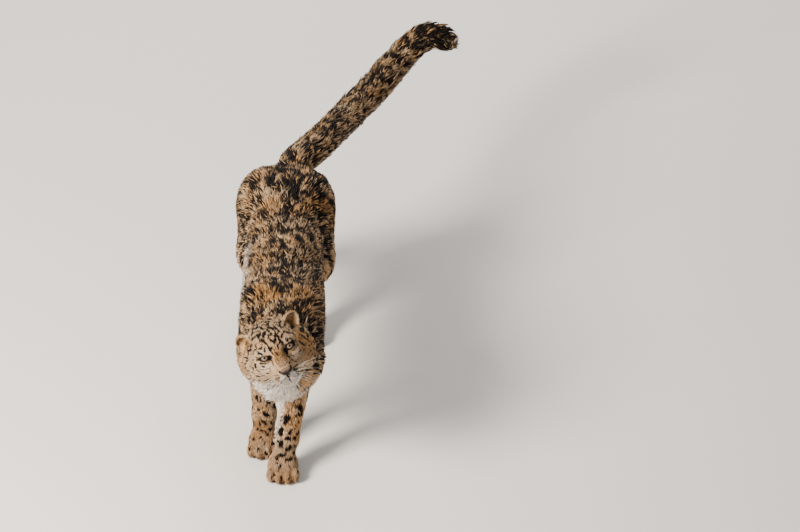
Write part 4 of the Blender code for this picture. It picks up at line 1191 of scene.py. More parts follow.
class Markings:
    """The coat's colours as three shares at each point: dark marks, gold and white."""

    # Zones: spacing, ring radius, half of the dark band, softness of its edge and lengthening of spots
    sizes = {
        Zone.HEAD: (0.0130, 0, 0.0034, 0.0008, 1.3),
        Zone.NECK: (0.031, 0, 0.0105, 0.0024, 1.3),
        Zone.TRUNK: (0.043, 0.0155, 0.0088, 0.0026, 1.35),
        Zone.UPPER_LEG: (0.039, 0.0115, 0.0086, 0.0024, 1.3),
        Zone.LOWER_LEG: (0.031, 0, 0.0120, 0.0022, 1.0),
        Zone.PAW: (0.019, 0, 0.0058, 0.0014, 1.1),
        Zone.TAIL: (0.038, 0, 0.0128, 0.0035, 0.85),
    }
    least_ring = 0.005
    # The dark rims of the eyes and the dark tip of the tail, from where each change starts to its end
    eye_rim = (1.42, 1.75)
    tail_tip = (0.86, 0.95)
    # The golden crescents behind the shoulders: place and radii of the left one, and both strengths
    crescent_place = (0.045, 0.115, 0.500)
    crescent_radii = (0.045, 0.040, 0.060)
    crescent_strengths = ((1, 0.50), (-1, 0.62))
    # How far beyond its outer form an ear's fur reaches, and how far it stands off the head
    ear_reach = 1.25
    ear_proud = 0.0005

    def __init__(self, body: Body, growth: Growth) -> None:
        """Lay the drawn marks on the body. The other spots are set out by place_spots."""
        self.body = body
        self.growth = growth
        self.spots = None
        head = body.head
        _, left, _ = head.axes()
        over = np.cross(head.gaze(), left)
        aside, rear, upright = LEVEL_AXES
        self.drawings = {
            Zone.HEAD: Drawing(FACE_MARKS, np.array(head.centre), left, over, 0.35, 2.05),
            Zone.TRUNK: Drawing(BACK_MARKS, np.zeros(3), aside, rear, 0.45, 1.9),
            Zone.PAW: Drawing(FORELEG_MARKS, np.zeros(3), aside, upright, 0.40, 1.5),
        }
        self.lines = {zone: drawing.lines(body.masses()) for zone, drawing in self.drawings.items()}

    def drawn(self, points: np.ndarray) -> np.ndarray:
        """Work out how dark the drawn marks make each point."""
        total = np.zeros(len(points))
        for zone, drawing in self.drawings.items():
            total = np.maximum(total, drawing.cover(points, self.lines[zone]))
        return total

    def place_spots(self, places: np.ndarray, normals: np.ndarray, shares: np.ndarray) -> None:
        """Set spots and rings out over the body, each zone at its own size and spacing.

        Args:
            places: The skin's points moved out to the outline.
            normals: Outward directions there.
            shares: How much of each belongs to each zone.
        """
        draw = np.random.default_rng(COAT_SEED)
        table = shares @ np.array([self.sizes[zone] for zone in Zone])
        spacing, rings, bands, edges, lengthening = table.T
        kept = np.vstack([line for lines in self.lines.values() for _, _, line in lines])
        numbers = []
        for number in draw.permutation(len(places)):
            if np.min(np.linalg.norm(kept - places[number], axis=1)) >= spacing[number]:
                kept = np.vstack([kept, places[number]])
                numbers.append(number)
        numbers = np.array(numbers)
        facing = normals[numbers] @ self.body.head.gaze()
        numbers = numbers[(shares[numbers, Zone.HEAD] <= 0.5) | (facing <= 0.25)]
        centres, normals = places[numbers], normals[numbers]
        along = self.growth.lie(centres, normals, shares[numbers])
        vary = draw.uniform(0.78, 1.22, (len(numbers), 2))
        solid = np.where(draw.random(len(numbers)) < 0.2, 0, 1)
        self.spots = Spots(
            centres=centres,
            along=along,
            aside=np.cross(normals, along),
            ring=np.where(rings[numbers] > self.least_ring, rings[numbers], 0) * vary[:, 0] * solid,
            band=bands[numbers] * vary[:, 1],
            stretch=lengthening[numbers] * draw.uniform(0.85, 1.2, len(numbers)),
            turn=draw.uniform(0, math.tau, len(numbers)),
            edge=edges[numbers],
        )

    def within(self, points: np.ndarray, place: tuple, radii: tuple, soft: float = 0.25) -> np.ndarray:
        """Give 1 inside an ellipsoid, fading to 0 outside. Its place and axes are those of the head."""
        head = self.body.head
        ball = Ball(head.at(*place), np.array(radii), 1, head.axes())
        return 1 - soft_step(ball.reach(points), 1 - soft, 1 + soft)

    def white(self, points: np.ndarray, normals: np.ndarray, zones: np.ndarray) -> np.ndarray:
        """Work out how white each point is.

        Args:
            points: Places near the outline.
            normals: Outward directions there.
            zones: How much of each belongs to each zone.

        Returns:
            Numbers from 0 to 1.
        """
        on_legs = zones[:, Zone.LOWER_LEG] + zones[:, Zone.UPPER_LEG]
        under = soft_step(-normals[:, 2], 0.10, 0.70)
        bib = Ball((-0.022, -0.050, 0.335), (0.076, 0.085, 0.085), 1)
        throat = 1 - soft_step(bib.reach(points), 0.75, 1.05)
        belly = under * (zones[:, Zone.TRUNK] + zones[:, Zone.UPPER_LEG])
        inwards = -normals[:, 0] * np.where(points[:, 0] > -0.028, 1, -1)
        inner = soft_step(inwards, 0.35, 0.85) * (1 - soft_step(points[:, 2], 0.26, 0.34))
        # Pale fur along the lower flank, on the animal's right side only, where the sun lights its rim: real
        # pale fur with painted light
        ahead = 1 - soft_step(points[:, 1], 0.46, 0.54)
        level = points[:, 2] - 0.07 * ahead
        fringe_and_sunlit_rim = soft_step(-normals[:, 0], 0.78, 0.94) * (1 - soft_step(level, 0.33, 0.39))
        fringe_and_sunlit_rim *= zones[:, Zone.TRUNK] * soft_step(points[:, 1], 0.24, 0.30) * 0.85
        muzzle = np.maximum(
            self.within(points, (0.106, 0, -0.066), (0.038, 0.036, 0.020)),
            self.within(points, (0.120, 0, -0.044), (0.027, 0.031, 0.015)) * 0.9,
        )
        # Pale patches by the eyes and a faint pale cheek are the coat's own; they are whiter on the right, the
        # sunlit side, as painted light
        eye_patches_and_sunlight = np.zeros(len(points))
        for side in SIDES:
            below = self.within(points, (0.074, side * 0.046, -0.014), (0.030, 0.020, 0.011))
            above = self.within(points, (0.070, side * 0.036, 0.031), (0.020, 0.015, 0.006))
            eye_patches_and_sunlight = np.max([eye_patches_and_sunlight, below * (0.22 - 0.06 * side), above * 0.18], axis=0)
        cheek_and_sunlight = self.within(points, (0.040, -0.060, -0.030), (0.055, 0.045, 0.030), 0.4) * 0.15
        tail = 0.55 * under * zones[:, Zone.TAIL]
        paws = 0.10 * zones[:, Zone.PAW]
        legs = inner * on_legs * 0.78
        return np.max([throat, belly, legs, fringe_and_sunlit_rim, muzzle, eye_patches_and_sunlight, cheek_and_sunlight, tail, paws], axis=0)

    def gold(self, points: np.ndarray, zones: np.ndarray) -> np.ndarray:
        """Work out how golden each point is.

        Args:
            points: Places near the outline.
            zones: How much of each belongs to each zone.

        Returns:
            Numbers from 0 to 1.
        """
        gold = 0.38 + 0.26 * ripples(points, 0.050, 5) + 0.18 * ripples(points, 0.017, 6)
        gold += 0.14 * zones[:, Zone.PAW] + 0.08 * zones[:, Zone.LOWER_LEG]
        gold += self.crescents(points) - 0.42 * zones[:, Zone.HEAD]
        gold += 0.80 * self.within(points, (0.022, 0.076, -0.030), (0.056, 0.040, 0.056), 0.3)
        gold += 0.85 * self.within(points, (0.098, 0, 0.000), (0.036, 0.020, 0.026), 0.3)
        return gold

    def crescents(self, points: np.ndarray) -> np.ndarray:
        """Give how strongly each point belongs to the golden crescents behind the shoulders."""
        total = np.zeros(len(points))
        for side, strength in self.crescent_strengths:
            crescent = Ball(np.array(self.crescent_place) * [side, 1, 1], self.crescent_radii, 1)
            total += strength * (1 - soft_step(crescent.reach(points), 0.6, 1.1))
        return total

    def shares(self, places: np.ndarray, normals: np.ndarray, zones: np.ndarray) -> np.ndarray:
        """Work out the markings at places on the outline.

        Args:
            places: Places near the outline.
            normals: Outward directions there.
            zones: How much of each belongs to each zone.

        Returns:
            Shares of dark mark, gold and white, one row a point.
        """
        head = self.body.head
        white, gold = self.white(places, normals, zones), self.gold(places, zones)
        body = 1 - zones[:, Zone.HEAD] - zones[:, Zone.PAW]
        above = soft_step(places[:, 2], 0.33, 0.42)
        # Painted light: the right flank behind the shoulders, where the sun falls, gets fewer dark flecks and
        # blotches
        painted_sunlight = soft_step(-places[:, 0], 0.02, 0.09) * soft_step(places[:, 1], 0.15, 0.25)
        above = above * body * (1 - 0.5 * self.crescents(places))
        spine = (1 - soft_step(np.abs(places[:, 0]), 0.006, 0.026)) * soft_step(places[:, 1], 0.10, 0.20)
        flecks = (0.44 + 0.08 * spine + 0.24 * ripples(places, 0.014, 8)) * above * (1 - 0.2 * painted_sunlight)
        blotches = 0.90 * soft_step(ripples(places, 0.0105, 21), 0.11, 0.55) * above * (1 - 0.3 * painted_sunlight)
        bridge = self.within(places, (0.100, 0, 0.000), (0.034, 0.020, 0.026), 0.3)
        crown = self.within(places, (0.022, 0, 0.058), (0.092, 0.072, 0.046), 0.3)
        behind = zones[:, Zone.HEAD] * soft_step(-head.local(places)[:, 0], -0.020, 0.020)
        dots = 0.95 * np.maximum(crown, behind) * soft_step(ripples(places, 0.0060, 31), 0.21, 0.50)
        mark = np.max([self.spots.cover(places), flecks, blotches, dots, 0.48 * bridge], axis=0)
        mark *= 1 - 0.85 * soft_step(white, 0.3, 0.9)
        off_head = 1 - zones[:, Zone.HEAD]
        mark = np.maximum(mark, self.drawn(places) * (1 - 0.6 * off_head * soft_step(white, 0.5, 1)))
        tip = soft_step(self.body.tail.station(places), *self.tail_tip) * zones[:, Zone.TAIL]
        mark = np.maximum(mark, tip * (0.62 + 0.3 * ripples(places, 0.02, 9)))
        for side in SIDES:
            rim = 1 - soft_step(head.lid_window(side).reach(places), *self.eye_rim)
            mark = np.maximum(mark, rim)
            white = white * (1 - rim)
        mark, gold, white = self.ears(places, normals, mark, gold, white)
        return np.clip(np.stack([mark, gold, white], axis=1), 0, 1)

    def ears(
        self, points: np.ndarray, normals: np.ndarray, mark: np.ndarray, gold: np.ndarray, white: np.ndarray
    ) -> tuple[np.ndarray, np.ndarray, np.ndarray]:
        """Paint the ears: cream rims, dark backs, golden hair inside and painted shade deep in the pit.

        Args:
            points: Places on the ears' skin or elsewhere.
            normals: Outward directions there.
            mark: Dark shares so far.
            gold: Gold shares so far.
            white: White shares so far.

        Returns:
            The three shares.
        """
        for side in SIDES:
            outer, _ = self.body.head.ear_shell(side, 0)
            local = (points - outer.centre) @ outer.axes.T / outer.radii
            on_ear = self.on_ear(points, side)
            faces_back = soft_step(-normals @ outer.axes[0], 0.1, 0.5)
            from_middle = np.linalg.norm(local[:, 1:], axis=1)
            rim = soft_step(from_middle, 0.58, 0.80) * soft_step(local[:, 2], -0.8, -0.4)
            # Painted shade: darker deep in the ear's cup, where little light falls
            from_pit = np.linalg.norm(local[:, 1:] + [0, 0.20], axis=1)
            painted_pit_shade = (1 - faces_back) * (1 - soft_step(from_pit, 0.25, 0.60))
            halo = 0.58 * (1 - soft_step(outer.reach(points), 1.20, 1.50)) * (1 - on_ear)
            mark = np.maximum(mark * (1 - on_ear), halo)
            mark = mark + on_ear * np.maximum(faces_back * (1 - rim) * 0.95, painted_pit_shade * 0.54)
            white = white * (1 - on_ear) + on_ear * 0.08 * rim
            gold = gold * (1 - on_ear) + on_ear * (0.62 - 0.34 * rim)
        return mark, gold, white

    def on_ear(self, points: np.ndarray, side: int) -> np.ndarray:
        """Give 1 for points that stand on an ear, and 0 elsewhere."""
        outer, _ = self.body.head.ear_shell(side, 0)
        near = outer.reach(points) < self.ear_reach
        proud = np.zeros(len(points))
        proud[near] = melted(points[near], self.body.head.masses()) > self.ear_proud
        return proud


@dataclass(frozen=True)
class Roots:
    """Where tufts grow, and how."""

    points: np.ndarray
    normals: np.ndarray
    lies: np.ndarray
    sizes: np.ndarray
    pattern: np.ndarray
    shares: np.ndarray
    unwrapped: np.ndarray
    ear: np.ndarray


class Coat:
    """Tufts of solid mesh over the skin, each tapering and bent along the lie of the coat."""

    corners = 3
    clump_spacing = 3.6
    gather = 0.60
    swing = 0.50
    bulge = 0.16
    sunk = 0.001
    root_width = 0.36
    full_width = 0.46
    # Places without fur: height of the soles, shares of the nose and of the lids' opening, half the lips' gap
    bare_sole = 0.0045
    bare_nose = 0.86
    bare_lids = 1.08
    bare_lips = 0.0013
    # How near the mouth the hair changes, and how much less depth, length, width and spacing it has there
    mouth_reach = (0.0015, 0.0110)
    mouth_cut = (0.60, 0.62, 0.35, 0.35)
    # Parting of the pieces: longest hair of the face, end of the front and level of the belly
    short_length = 0.011
    front_end = 0.35
    belly_top = 0.36
    # Share of the head from which the markings are worked out ring by ring
    fine_from = 0.3

    def __init__(self, body: Body, growth: Growth, markings: Markings, skin: Surface) -> None:
        """Keep the forms, and seed the draw."""
        self.body = body
        self.growth = growth
        self.markings = markings
        self.skin = skin
        self.draw = np.random.default_rng(COAT_SEED + 1)

    def sow(self) -> Roots:
        """Spread roots over the skin at the spacing that the coat has there.

        Returns:
            The roots.
        """
        corners = self.skin.points[self.skin.triangles]
        centres = corners.mean(axis=1)
        cross = np.cross(corners[:, 1] - corners[:, 0], corners[:, 2] - corners[:, 0])
        areas = np.linalg.norm(cross, axis=1) / 2
        sizes, _ = self.sizes(centres, self.body.shares(centres))
        bare = self.bare(centres)
        expected = np.cumsum(np.where(bare, 0, areas / np.square(sizes[:, 3])))
        counts = np.diff(np.floor(expected + self.draw.random()).astype(int), prepend=0)
        chosen = np.repeat(np.arange(len(counts)), counts)
        a, b = self.draw.random((2, len(chosen)))
        over = a + b > 1
        a, b = np.where(over, 1 - a, a), np.where(over, 1 - b, b)
        weights = np.stack([1 - a - b, a, b], axis=1)[:, :, None]
        points = (corners[chosen] * weights).sum(axis=1)
        normals = unit((self.skin.normals[self.skin.triangles[chosen]] * weights).sum(axis=1))
        unwrapped = (self.skin.unwrapped[chosen] * weights).sum(axis=1)
        shares = self.body.shares(points)
        sizes, ear = self.sizes(points, shares)
        lies = self.growth.lie(points, normals, shares)
        for side in SIDES:
            here = ear == side
            outer, _ = self.body.head.ear_shell(side, 0)
            lies[here] = across(points[here] - outer.centre + outer.axes[2] * 0.03, normals[here])
        run = np.sqrt(np.square(sizes[:, 1]) - np.square(sizes[:, 0]))
        seen = 0.88 - 0.24 * soft_step(sizes[:, 1], 0.010, 0.030)
        places = points + normals * sizes[:, :1] + lies * (run * seen)[:, None]
        places -= normals * np.clip(melted(places, self.body.masses()), -0.006, 0.006)[:, None]
        pattern = self.markings.shares(places, normals, shares)
        return Roots(points, normals, lies, sizes, pattern, shares, unwrapped, ear != 0)

    def sizes(self, points: np.ndarray, shares: np.ndarray) -> tuple[np.ndarray, np.ndarray]:
        """Work out the coat's sizes, with short hair on the ears and along the mouth.

        Args:
            points: Places on the skin.
            shares: How much of each belongs to each zone.

        Returns:
            The sizes, and 1 or -1 on the left or right ear and 0 elsewhere.
        """
        sizes = self.growth.sizes(points, shares)
        near_mouth = 1 - soft_step(self.mouth_gaps(points), *self.mouth_reach)
        sizes *= 1 - near_mouth[:, None] * self.mouth_cut
        ear = np.zeros(len(points), int)
        for side in SIDES:
            ear[self.markings.on_ear(points, side) > 0] = side
        sizes[ear != 0] = self.growth.ear.row()
        return sizes, ear

    def mouth_gaps(self, points: np.ndarray) -> np.ndarray:
        """Give the distance from each point to the line of the mouth, or 1 far from it."""
        head = self.body.head
        local = head.local(points)
        gaps = np.ones(len(points))
        near = np.flatnonzero(local[:, 0] > 0.06)
        for side in SIDES:
            line = smooth_line(np.array(head.mouth_line) * [1, side, 1], 30)
            found = np.linalg.norm(local[near][:, None] - line[None], axis=2).min(axis=1)
            gaps[near] = np.minimum(gaps[near], found)
        return gaps

    def bare(self, points: np.ndarray) -> np.ndarray:
        """Mark places without fur: soles, the eyes between the lids, the nose leather and the mouth."""
        head = self.body.head
        radii = np.array(head.nose_radii) * self.bare_nose
        nose = Ball(head.at(head.nose_forward, 0, head.nose_height), radii, 1, head.axes())
        bare = (points[:, 2] < self.bare_sole) | (nose.reach(points) < 1)
        for side in SIDES:
            bare |= head.lid_window(side).reach(points) < self.bare_lids
        return bare | (self.mouth_gaps(points) < self.bare_lips)

    def clumped(self, roots: Roots, tips: np.ndarray) -> tuple[np.ndarray, np.ndarray]:
        """Draw the tips of neighbouring tufts together, each clump with a swing of its own.

        Args:
            roots: The roots.
            tips: The ends of the tufts.

        Returns:
            The moved ends, and a number from 0 to 1 that the tufts of a clump share.
        """
        chance = 1 / self.clump_spacing**2
        leaders = np.flatnonzero(self.draw.random(len(tips)) < chance)
        tree = tree_of(roots.points[leaders])
        nearest = np.array([tree.find(point)[1] for point in roots.points])
        long = soft_step(roots.sizes[:, 1], 0.008, 0.020)
        pull = self.gather * long * self.draw.uniform(0.5, 1.3, len(tips))
        stray = across(self.draw.normal(0, 1, (len(leaders), 3)), roots.normals[leaders])
        swing = self.swing * roots.sizes[leaders, 1] * long[leaders] * self.draw.random(len(leaders))
        ends = tips[leaders] + stray * swing[:, None]
        return tips + pull[:, None] * (ends[nearest] - tips), self.draw.random(len(leaders))[nearest]

    def grow(self, name: str, roots: Roots, chosen: np.ndarray, stations: int) -> bpy.types.Object:
        """Build the chosen tufts as one mesh.

        Args:
            name: The piece's name.
            roots: All the roots.
            chosen: Which of them belong to the piece.
            stations: How many rings of corners a tuft has before its tip.

        Returns:
            The piece.
        """
        count = len(chosen)
        points, normals, lies = roots.points[chosen], roots.normals[chosen], roots.lies[chosen]
        tips, width = self.tips[chosen], roots.sizes[chosen, 2] * self.draw.uniform(0.8, 1.2, count)
        bulge = normals * (np.linalg.norm(tips - points, axis=1) * self.bulge)[:, None]
        aside = np.cross(lies, normals)
        turn = self.draw.uniform(-0.5, 0.5, count)[:, None]
        cos, sin = np.cos(turn), np.sin(turn)
        aside, ridge = aside * cos + normals * sin, normals * cos - aside * sin
        rings = []
        for station in range(stations):
            share = station / stations
            sunk = normals * self.sunk * (1 - share)
            middle = points + (tips - points) * share + bulge * 4 * share * (1 - share) * 0.5 - sunk
            breadth = self.full_width if station else self.root_width
            half = (width * breadth * (1 - 0.35 * share))[:, None]
            rings += [middle + aside * half, middle + ridge * half * 0.8, middle - aside * half]
        ends = np.stack([*rings, tips], axis=1)
        ends[:, :, 2] = np.maximum(ends[:, :, 2], SOLE)
        per_tuft = ends.shape[1]
        triangles = repeated(strand_faces(self.corners, stations), count, per_tuft)
        mesh = mesh_from_arrays(name, ends.reshape(-1, 3), triangles)
        # Short tufts start partway up the strand, so their painted root shade is lighter
        lowest = 0.2 if stations == 1 else 0
        upwards = lowest + (1 - lowest) * np.arange(stations) / stations
        along = np.repeat(np.append(np.repeat(upwards, self.corners), 1)[None], count, axis=0)
        random = np.repeat(self.draw.random((count, 2))[:, None], per_tuft, axis=1)
        strand = np.concatenate([along[:, :, None], random], axis=2)
        set_vectors(mesh, "strand", strand.reshape(-1, 3))
        pattern = np.repeat(roots.pattern[chosen][:, None], per_tuft, axis=1)
        fine = roots.shares[chosen, Zone.HEAD] > self.fine_from
        if fine.any():
            pattern[fine] = self.fine_pattern(ends[fine], normals[fine], roots.shares[chosen][fine])
        set_vectors(mesh, "pattern", pattern.reshape(-1, 3))
        sideways = np.append(np.tile([1, 0.5, 0], stations), 0.5)
        patch = (np.stack([sideways, along[0]], axis=1) - 0.5) * BAKE_PATCH
        corner_maps = (roots.unwrapped[chosen][:, None] + patch[None]).reshape(-1, 2)
        layer = mesh.uv_layers.new(name=BAKE_MAP)
        layer.data.foreach_set("uv", np.clip(corner_maps, 0, 1)[triangles.ravel()].ravel())
        mesh.shade_smooth()
        return new_object(name, mesh)

    def fine_pattern(self, ends: np.ndarray, normals: np.ndarray, zones: np.ndarray) -> np.ndarray:
        """Work out the markings ring by ring, for tufts whose marks are finer than they are long.

        Args:
            ends: The corners of each tuft, its tip last.
            normals: Outward directions at the roots.
            zones: How much of each root belongs to each zone.

        Returns:
            Shares of dark mark, gold and white at each corner.
        """
        rings = (ends.shape[1] - 1) // self.corners
        found = []
        for ring in range(rings + 1):
            places = ends[:, ring * self.corners : (ring + 1) * self.corners].mean(axis=1)
            places = places - normals * np.clip(melted(places, self.body.masses()), -0.02, 0.02)[:, None]
            found += [self.markings.shares(places, normals, zones)] * (self.corners if ring < rings else 1)
        return np.stack(found, axis=1)

    def build(self) -> dict:
        """Grow every piece of the coat.

        Returns:
            The pieces by their names.
        """
        roots = self.sow()
        count = len(roots.points)
        sag = soft_step(roots.sizes[:, 1], 0.028, 0.048) * 0.20
        on_front = roots.shares[:, [Zone.NECK, Zone.TRUNK]].sum(axis=1)
        loose = soft_step(roots.pattern[:, 2], 0.4, 0.8) * on_front
        length = roots.sizes[:, 1] * self.draw.uniform(0.78, 1.22, count) * (1 + 0.3 * loose)
        scatter = 0.14 + 0.22 * soft_step(roots.sizes[:, 1], 0.012, 0.030)
        lies = unit(roots.lies + self.draw.normal(0, 1, (count, 3)) * scatter[:, None])
        lies = across(lies, roots.normals)
        height = np.minimum(roots.sizes[:, 0] * self.draw.uniform(0.70, 1.10, count), length * 0.8)
        run = np.sqrt(np.square(length) - np.square(height))
        tips = roots.points + lies * run[:, None] + roots.normals * height[:, None]
        tips[:, 2] -= sag * length
        tips, shared = self.clumped(roots, tips)
        proud = melted(tips, self.body.masses())
        allowed = 0.001 + 0.22 * np.maximum(roots.sizes[:, 1] - 0.016, 0) + 0.009 * loose
        allowed *= shared + 0.5 * self.draw.random(count)
        away = np.where(roots.ear, 0, np.maximum(proud - allowed, 0))
        tips -= roots.normals * np.minimum(away, height * 0.9)[:, None]
        tips[:, 2] = np.maximum(tips[:, 2], SOLE * 3)
        self.tips = tips
        pieces = {}
        for name, chosen, stations in self.pieces(roots):
            pieces[name] = self.grow(name, roots, chosen, stations)
            LOG.info("%s: %d tufts, %d triangles", name, len(chosen), len(pieces[name].data.polygons))
        return pieces

    def pieces(self, roots: Roots) -> list:
        """Part the roots into pieces of the coat.

        Returns:
            Names, numbers of the roots and rings of corners in a tuft.
        """
        zone = np.argmax(roots.shares, axis=1)
        y, z = roots.points[:, 1], roots.points[:, 2]
        short = roots.sizes[:, 1] < self.short_length
        trunk = zone == Zone.TRUNK
        upper = zone == Zone.UPPER_LEG
        lower = zone == Zone.LOWER_LEG
        front = y < self.front_end
        high = z > self.belly_top
        found = [
            ("coat_face", (zone == Zone.HEAD) & short, 1),
            ("coat_head", (zone == Zone.HEAD) & ~short, 2),
            ("coat_neck", zone == Zone.NECK, 2),
            ("coat_back_front", trunk & front & high, 2),
            ("coat_back_rear", trunk & ~front & high, 2),
            ("coat_belly_front", trunk & front & ~high, 2),
            ("coat_belly_rear", trunk & ~front & ~high, 2),
            ("coat_shoulders", upper & front, 2),
            ("coat_thighs", upper & ~front, 2),
            ("coat_forearms", lower & front, 2),
            ("coat_shanks", lower & ~front, 2),
            ("coat_paws", zone == Zone.PAW, 1),
            ("coat_tail", zone == Zone.TAIL, 2),
        ]
        return [(name, np.flatnonzero(which), stations) for name, which, stations in found]


def mesh_from_arrays(name: str, points: np.ndarray, triangles: np.ndarray) -> bpy.types.Mesh:
    """Make a mesh of triangles.

    Args:
        name: The mesh's name.
        points: Its points.
        triangles: Three point numbers a face.

    Returns:
        The mesh.
    """
    mesh = bpy.data.meshes.new(name)
    mesh.vertices.add(len(points))
    mesh.vertices.foreach_set("co", points.astype(np.float32).ravel())
    mesh.loops.add(triangles.size)
    mesh.loops.foreach_set("vertex_index", triangles.astype(np.int32).ravel())
    mesh.polygons.add(len(triangles))
    mesh.polygons.foreach_set("loop_start", np.arange(0, triangles.size, 3, dtype=np.int32))
    mesh.update(calc_edges=True)
    return mesh


def strand_faces(corners: int, rings: int) -> np.ndarray:
    """Give the triangles of a closed strand, whose tip comes after its rings of corners.

    Args:
        corners: Corners in a ring.
        rings: Rings below the tip.

    Returns:
        Three corner numbers a face.
    """
    faces = []
    for ring in range(rings):
        low, high = ring * corners, (ring + 1) * corners
        for k in range(corners):
            after = (k + 1) % corners
            if ring == rings - 1:
                faces.append((low + k, high, low + after))
            else:
                faces += [(low + k, high + k, high + after), (low + k, high + after, low + after)]
    return np.array(faces + [(0, k, k + 1) for k in range(1, corners - 1)])


def repeated(faces: np.ndarray, count: int, corners: int) -> np.ndarray:
    """Repeat one strand's triangles for many strands, each with so many corners."""
    return (faces[None] + (np.arange(count) * corners)[:, None, None]).reshape(-1, 3)


def set_vectors(mesh: bpy.types.Mesh, name: str, values: np.ndarray) -> None:
    """Store three numbers at every point of a mesh under a name."""
    layer = mesh.attributes.new(name, "FLOAT_VECTOR", "POINT")
    layer.data.foreach_set("vector", values.astype(np.float32).ravel())


class Eye:
    """An eyeball whose pole is the line of sight, with a bulging cornea."""

    def __init__(self, head: Head, side: int) -> None:
        """Keep the head and the side."""
        self.head = head
        self.side = side

    def sight(self) -> np.ndarray:
        """Give the line of sight, which leaves the middle of the lids a little for the viewer."""
        window = self.head.lid_window(self.side)
        return unit(0.62 * self.head.gaze() + 0.38 * window.axes[0])

    def build(self, name: str) -> bpy.types.Object:
        """Model the eyeball.

        Args:
            name: The piece's name.

        Returns:
            The piece.
        """
        sight = self.sight()
        second = unit(np.cross(sight, [0, 0, 1.0]))
        axes = np.array([sight, second, np.cross(sight, second)])
        centre = self.head.eye(self.side)
        piece = add_ellipsoid(name, Ball(centre, np.full(3, self.head.eye_radius), 1, axes), 64, 48)
        points = mesh_points(piece)
        local = (points - centre) @ axes.T
        out = np.linalg.norm(local[:, 1:], axis=1)
        bulge = 0.0007 * (1 - soft_step(out, 0.004, 0.0105)) * (local[:, 0] > 0)
        move_points(piece, points + bulge[:, None] * sight)
        gaze = np.where(local[:, 0] > 0, out, self.head.eye_radius) / self.head.eye_radius
        turn = np.arctan2(local[:, 2], local[:, 1])
        set_vectors(piece.data, "gaze", np.stack([gaze, np.cos(turn), np.sin(turn)], axis=1))
        piece.data.shade_smooth()
        return piece


class Nose:
    """The nose leather, with its nostrils and the groove in its middle."""

    voxel = 0.0008
    wing_radii = (0.0078, 0.0068, 0.0066)
    chin_radii = (0.0075, 0.0055, 0.0060)

    def __init__(self, head: Head) -> None:
        """Keep the head."""
        self.head = head

    def nostrils(self) -> list:
        """Give the hollows of the nostrils and of the groove."""
        head = self.head
        front, height = head.nose_forward + head.nose_radii[0] * 0.80, head.nose_height
        hollows = []
        for side in SIDES:
            at = head.at(front, side * head.nose_radii[1] * 0.50, height - 0.0012)
            out = head.at(front - 0.004, side * head.nose_radii[1] * 0.86, height - 0.0042)
            hollows.append(Limb(at, out, 0.0026, 0.0011, 0.0016, hollow=True))
        groove = [head.at(front + 0.0016, 0, height + 0.0010), head.at(front - 0.0005, 0, height - 0.0100)]
        hollows.append(Limb(*groove, 0.0006, 0.0010, 0.0012, hollow=True))
        return hollows

    def build(self, name: str) -> bpy.types.Object:
        """Model the nose leather.

        Args:
            name: The piece's name.

        Returns:
            The piece.
        """
        head = self.head
        axes = head.axes()
        middle = head.at(head.nose_forward, 0, head.nose_height)
        forms = [Ball(middle, np.array(head.nose_radii) * [1, 1, 0.86], 0.002, axes)]
        for side in SIDES:
            wing = head.at(head.nose_forward + 0.001, side * 0.0085, head.nose_height - 0.0012)
            forms.append(Ball(wing, self.wing_radii, 0.003, axes))
        chin = head.at(head.nose_forward, 0, head.nose_height - 0.006)
        forms.append(Ball(chin, self.chin_radii, 0.004, axes))
        modeller = Modeller(forms, self.voxel)
        piece = modeller.rough(name)
        modeller.masses = forms + self.nostrils()
        modeller.settle(piece, lambda points: np.zeros(len(points)), 4, 0.3)
        points = mesh_points(piece)
        gaps = np.min([np.abs(hollow.away(points)) for hollow in self.nostrils()], axis=0)
        local = head.local(points)
        above_edge = local[:, 2] - (-0.0305 + 0.60 * np.abs(local[:, 1]))
        dark = np.maximum(1 - soft_step(gaps, 0.0003, 0.0016), 1 - soft_step(above_edge, 0.0010, 0.0034))
        top = soft_step(local[:, 2] - head.nose_height, 0.0015, 0.0068)
        set_vectors(piece.data, "leather", np.stack([dark, top, np.zeros(len(points))], axis=1))
        piece.data.shade_smooth()
        return piece


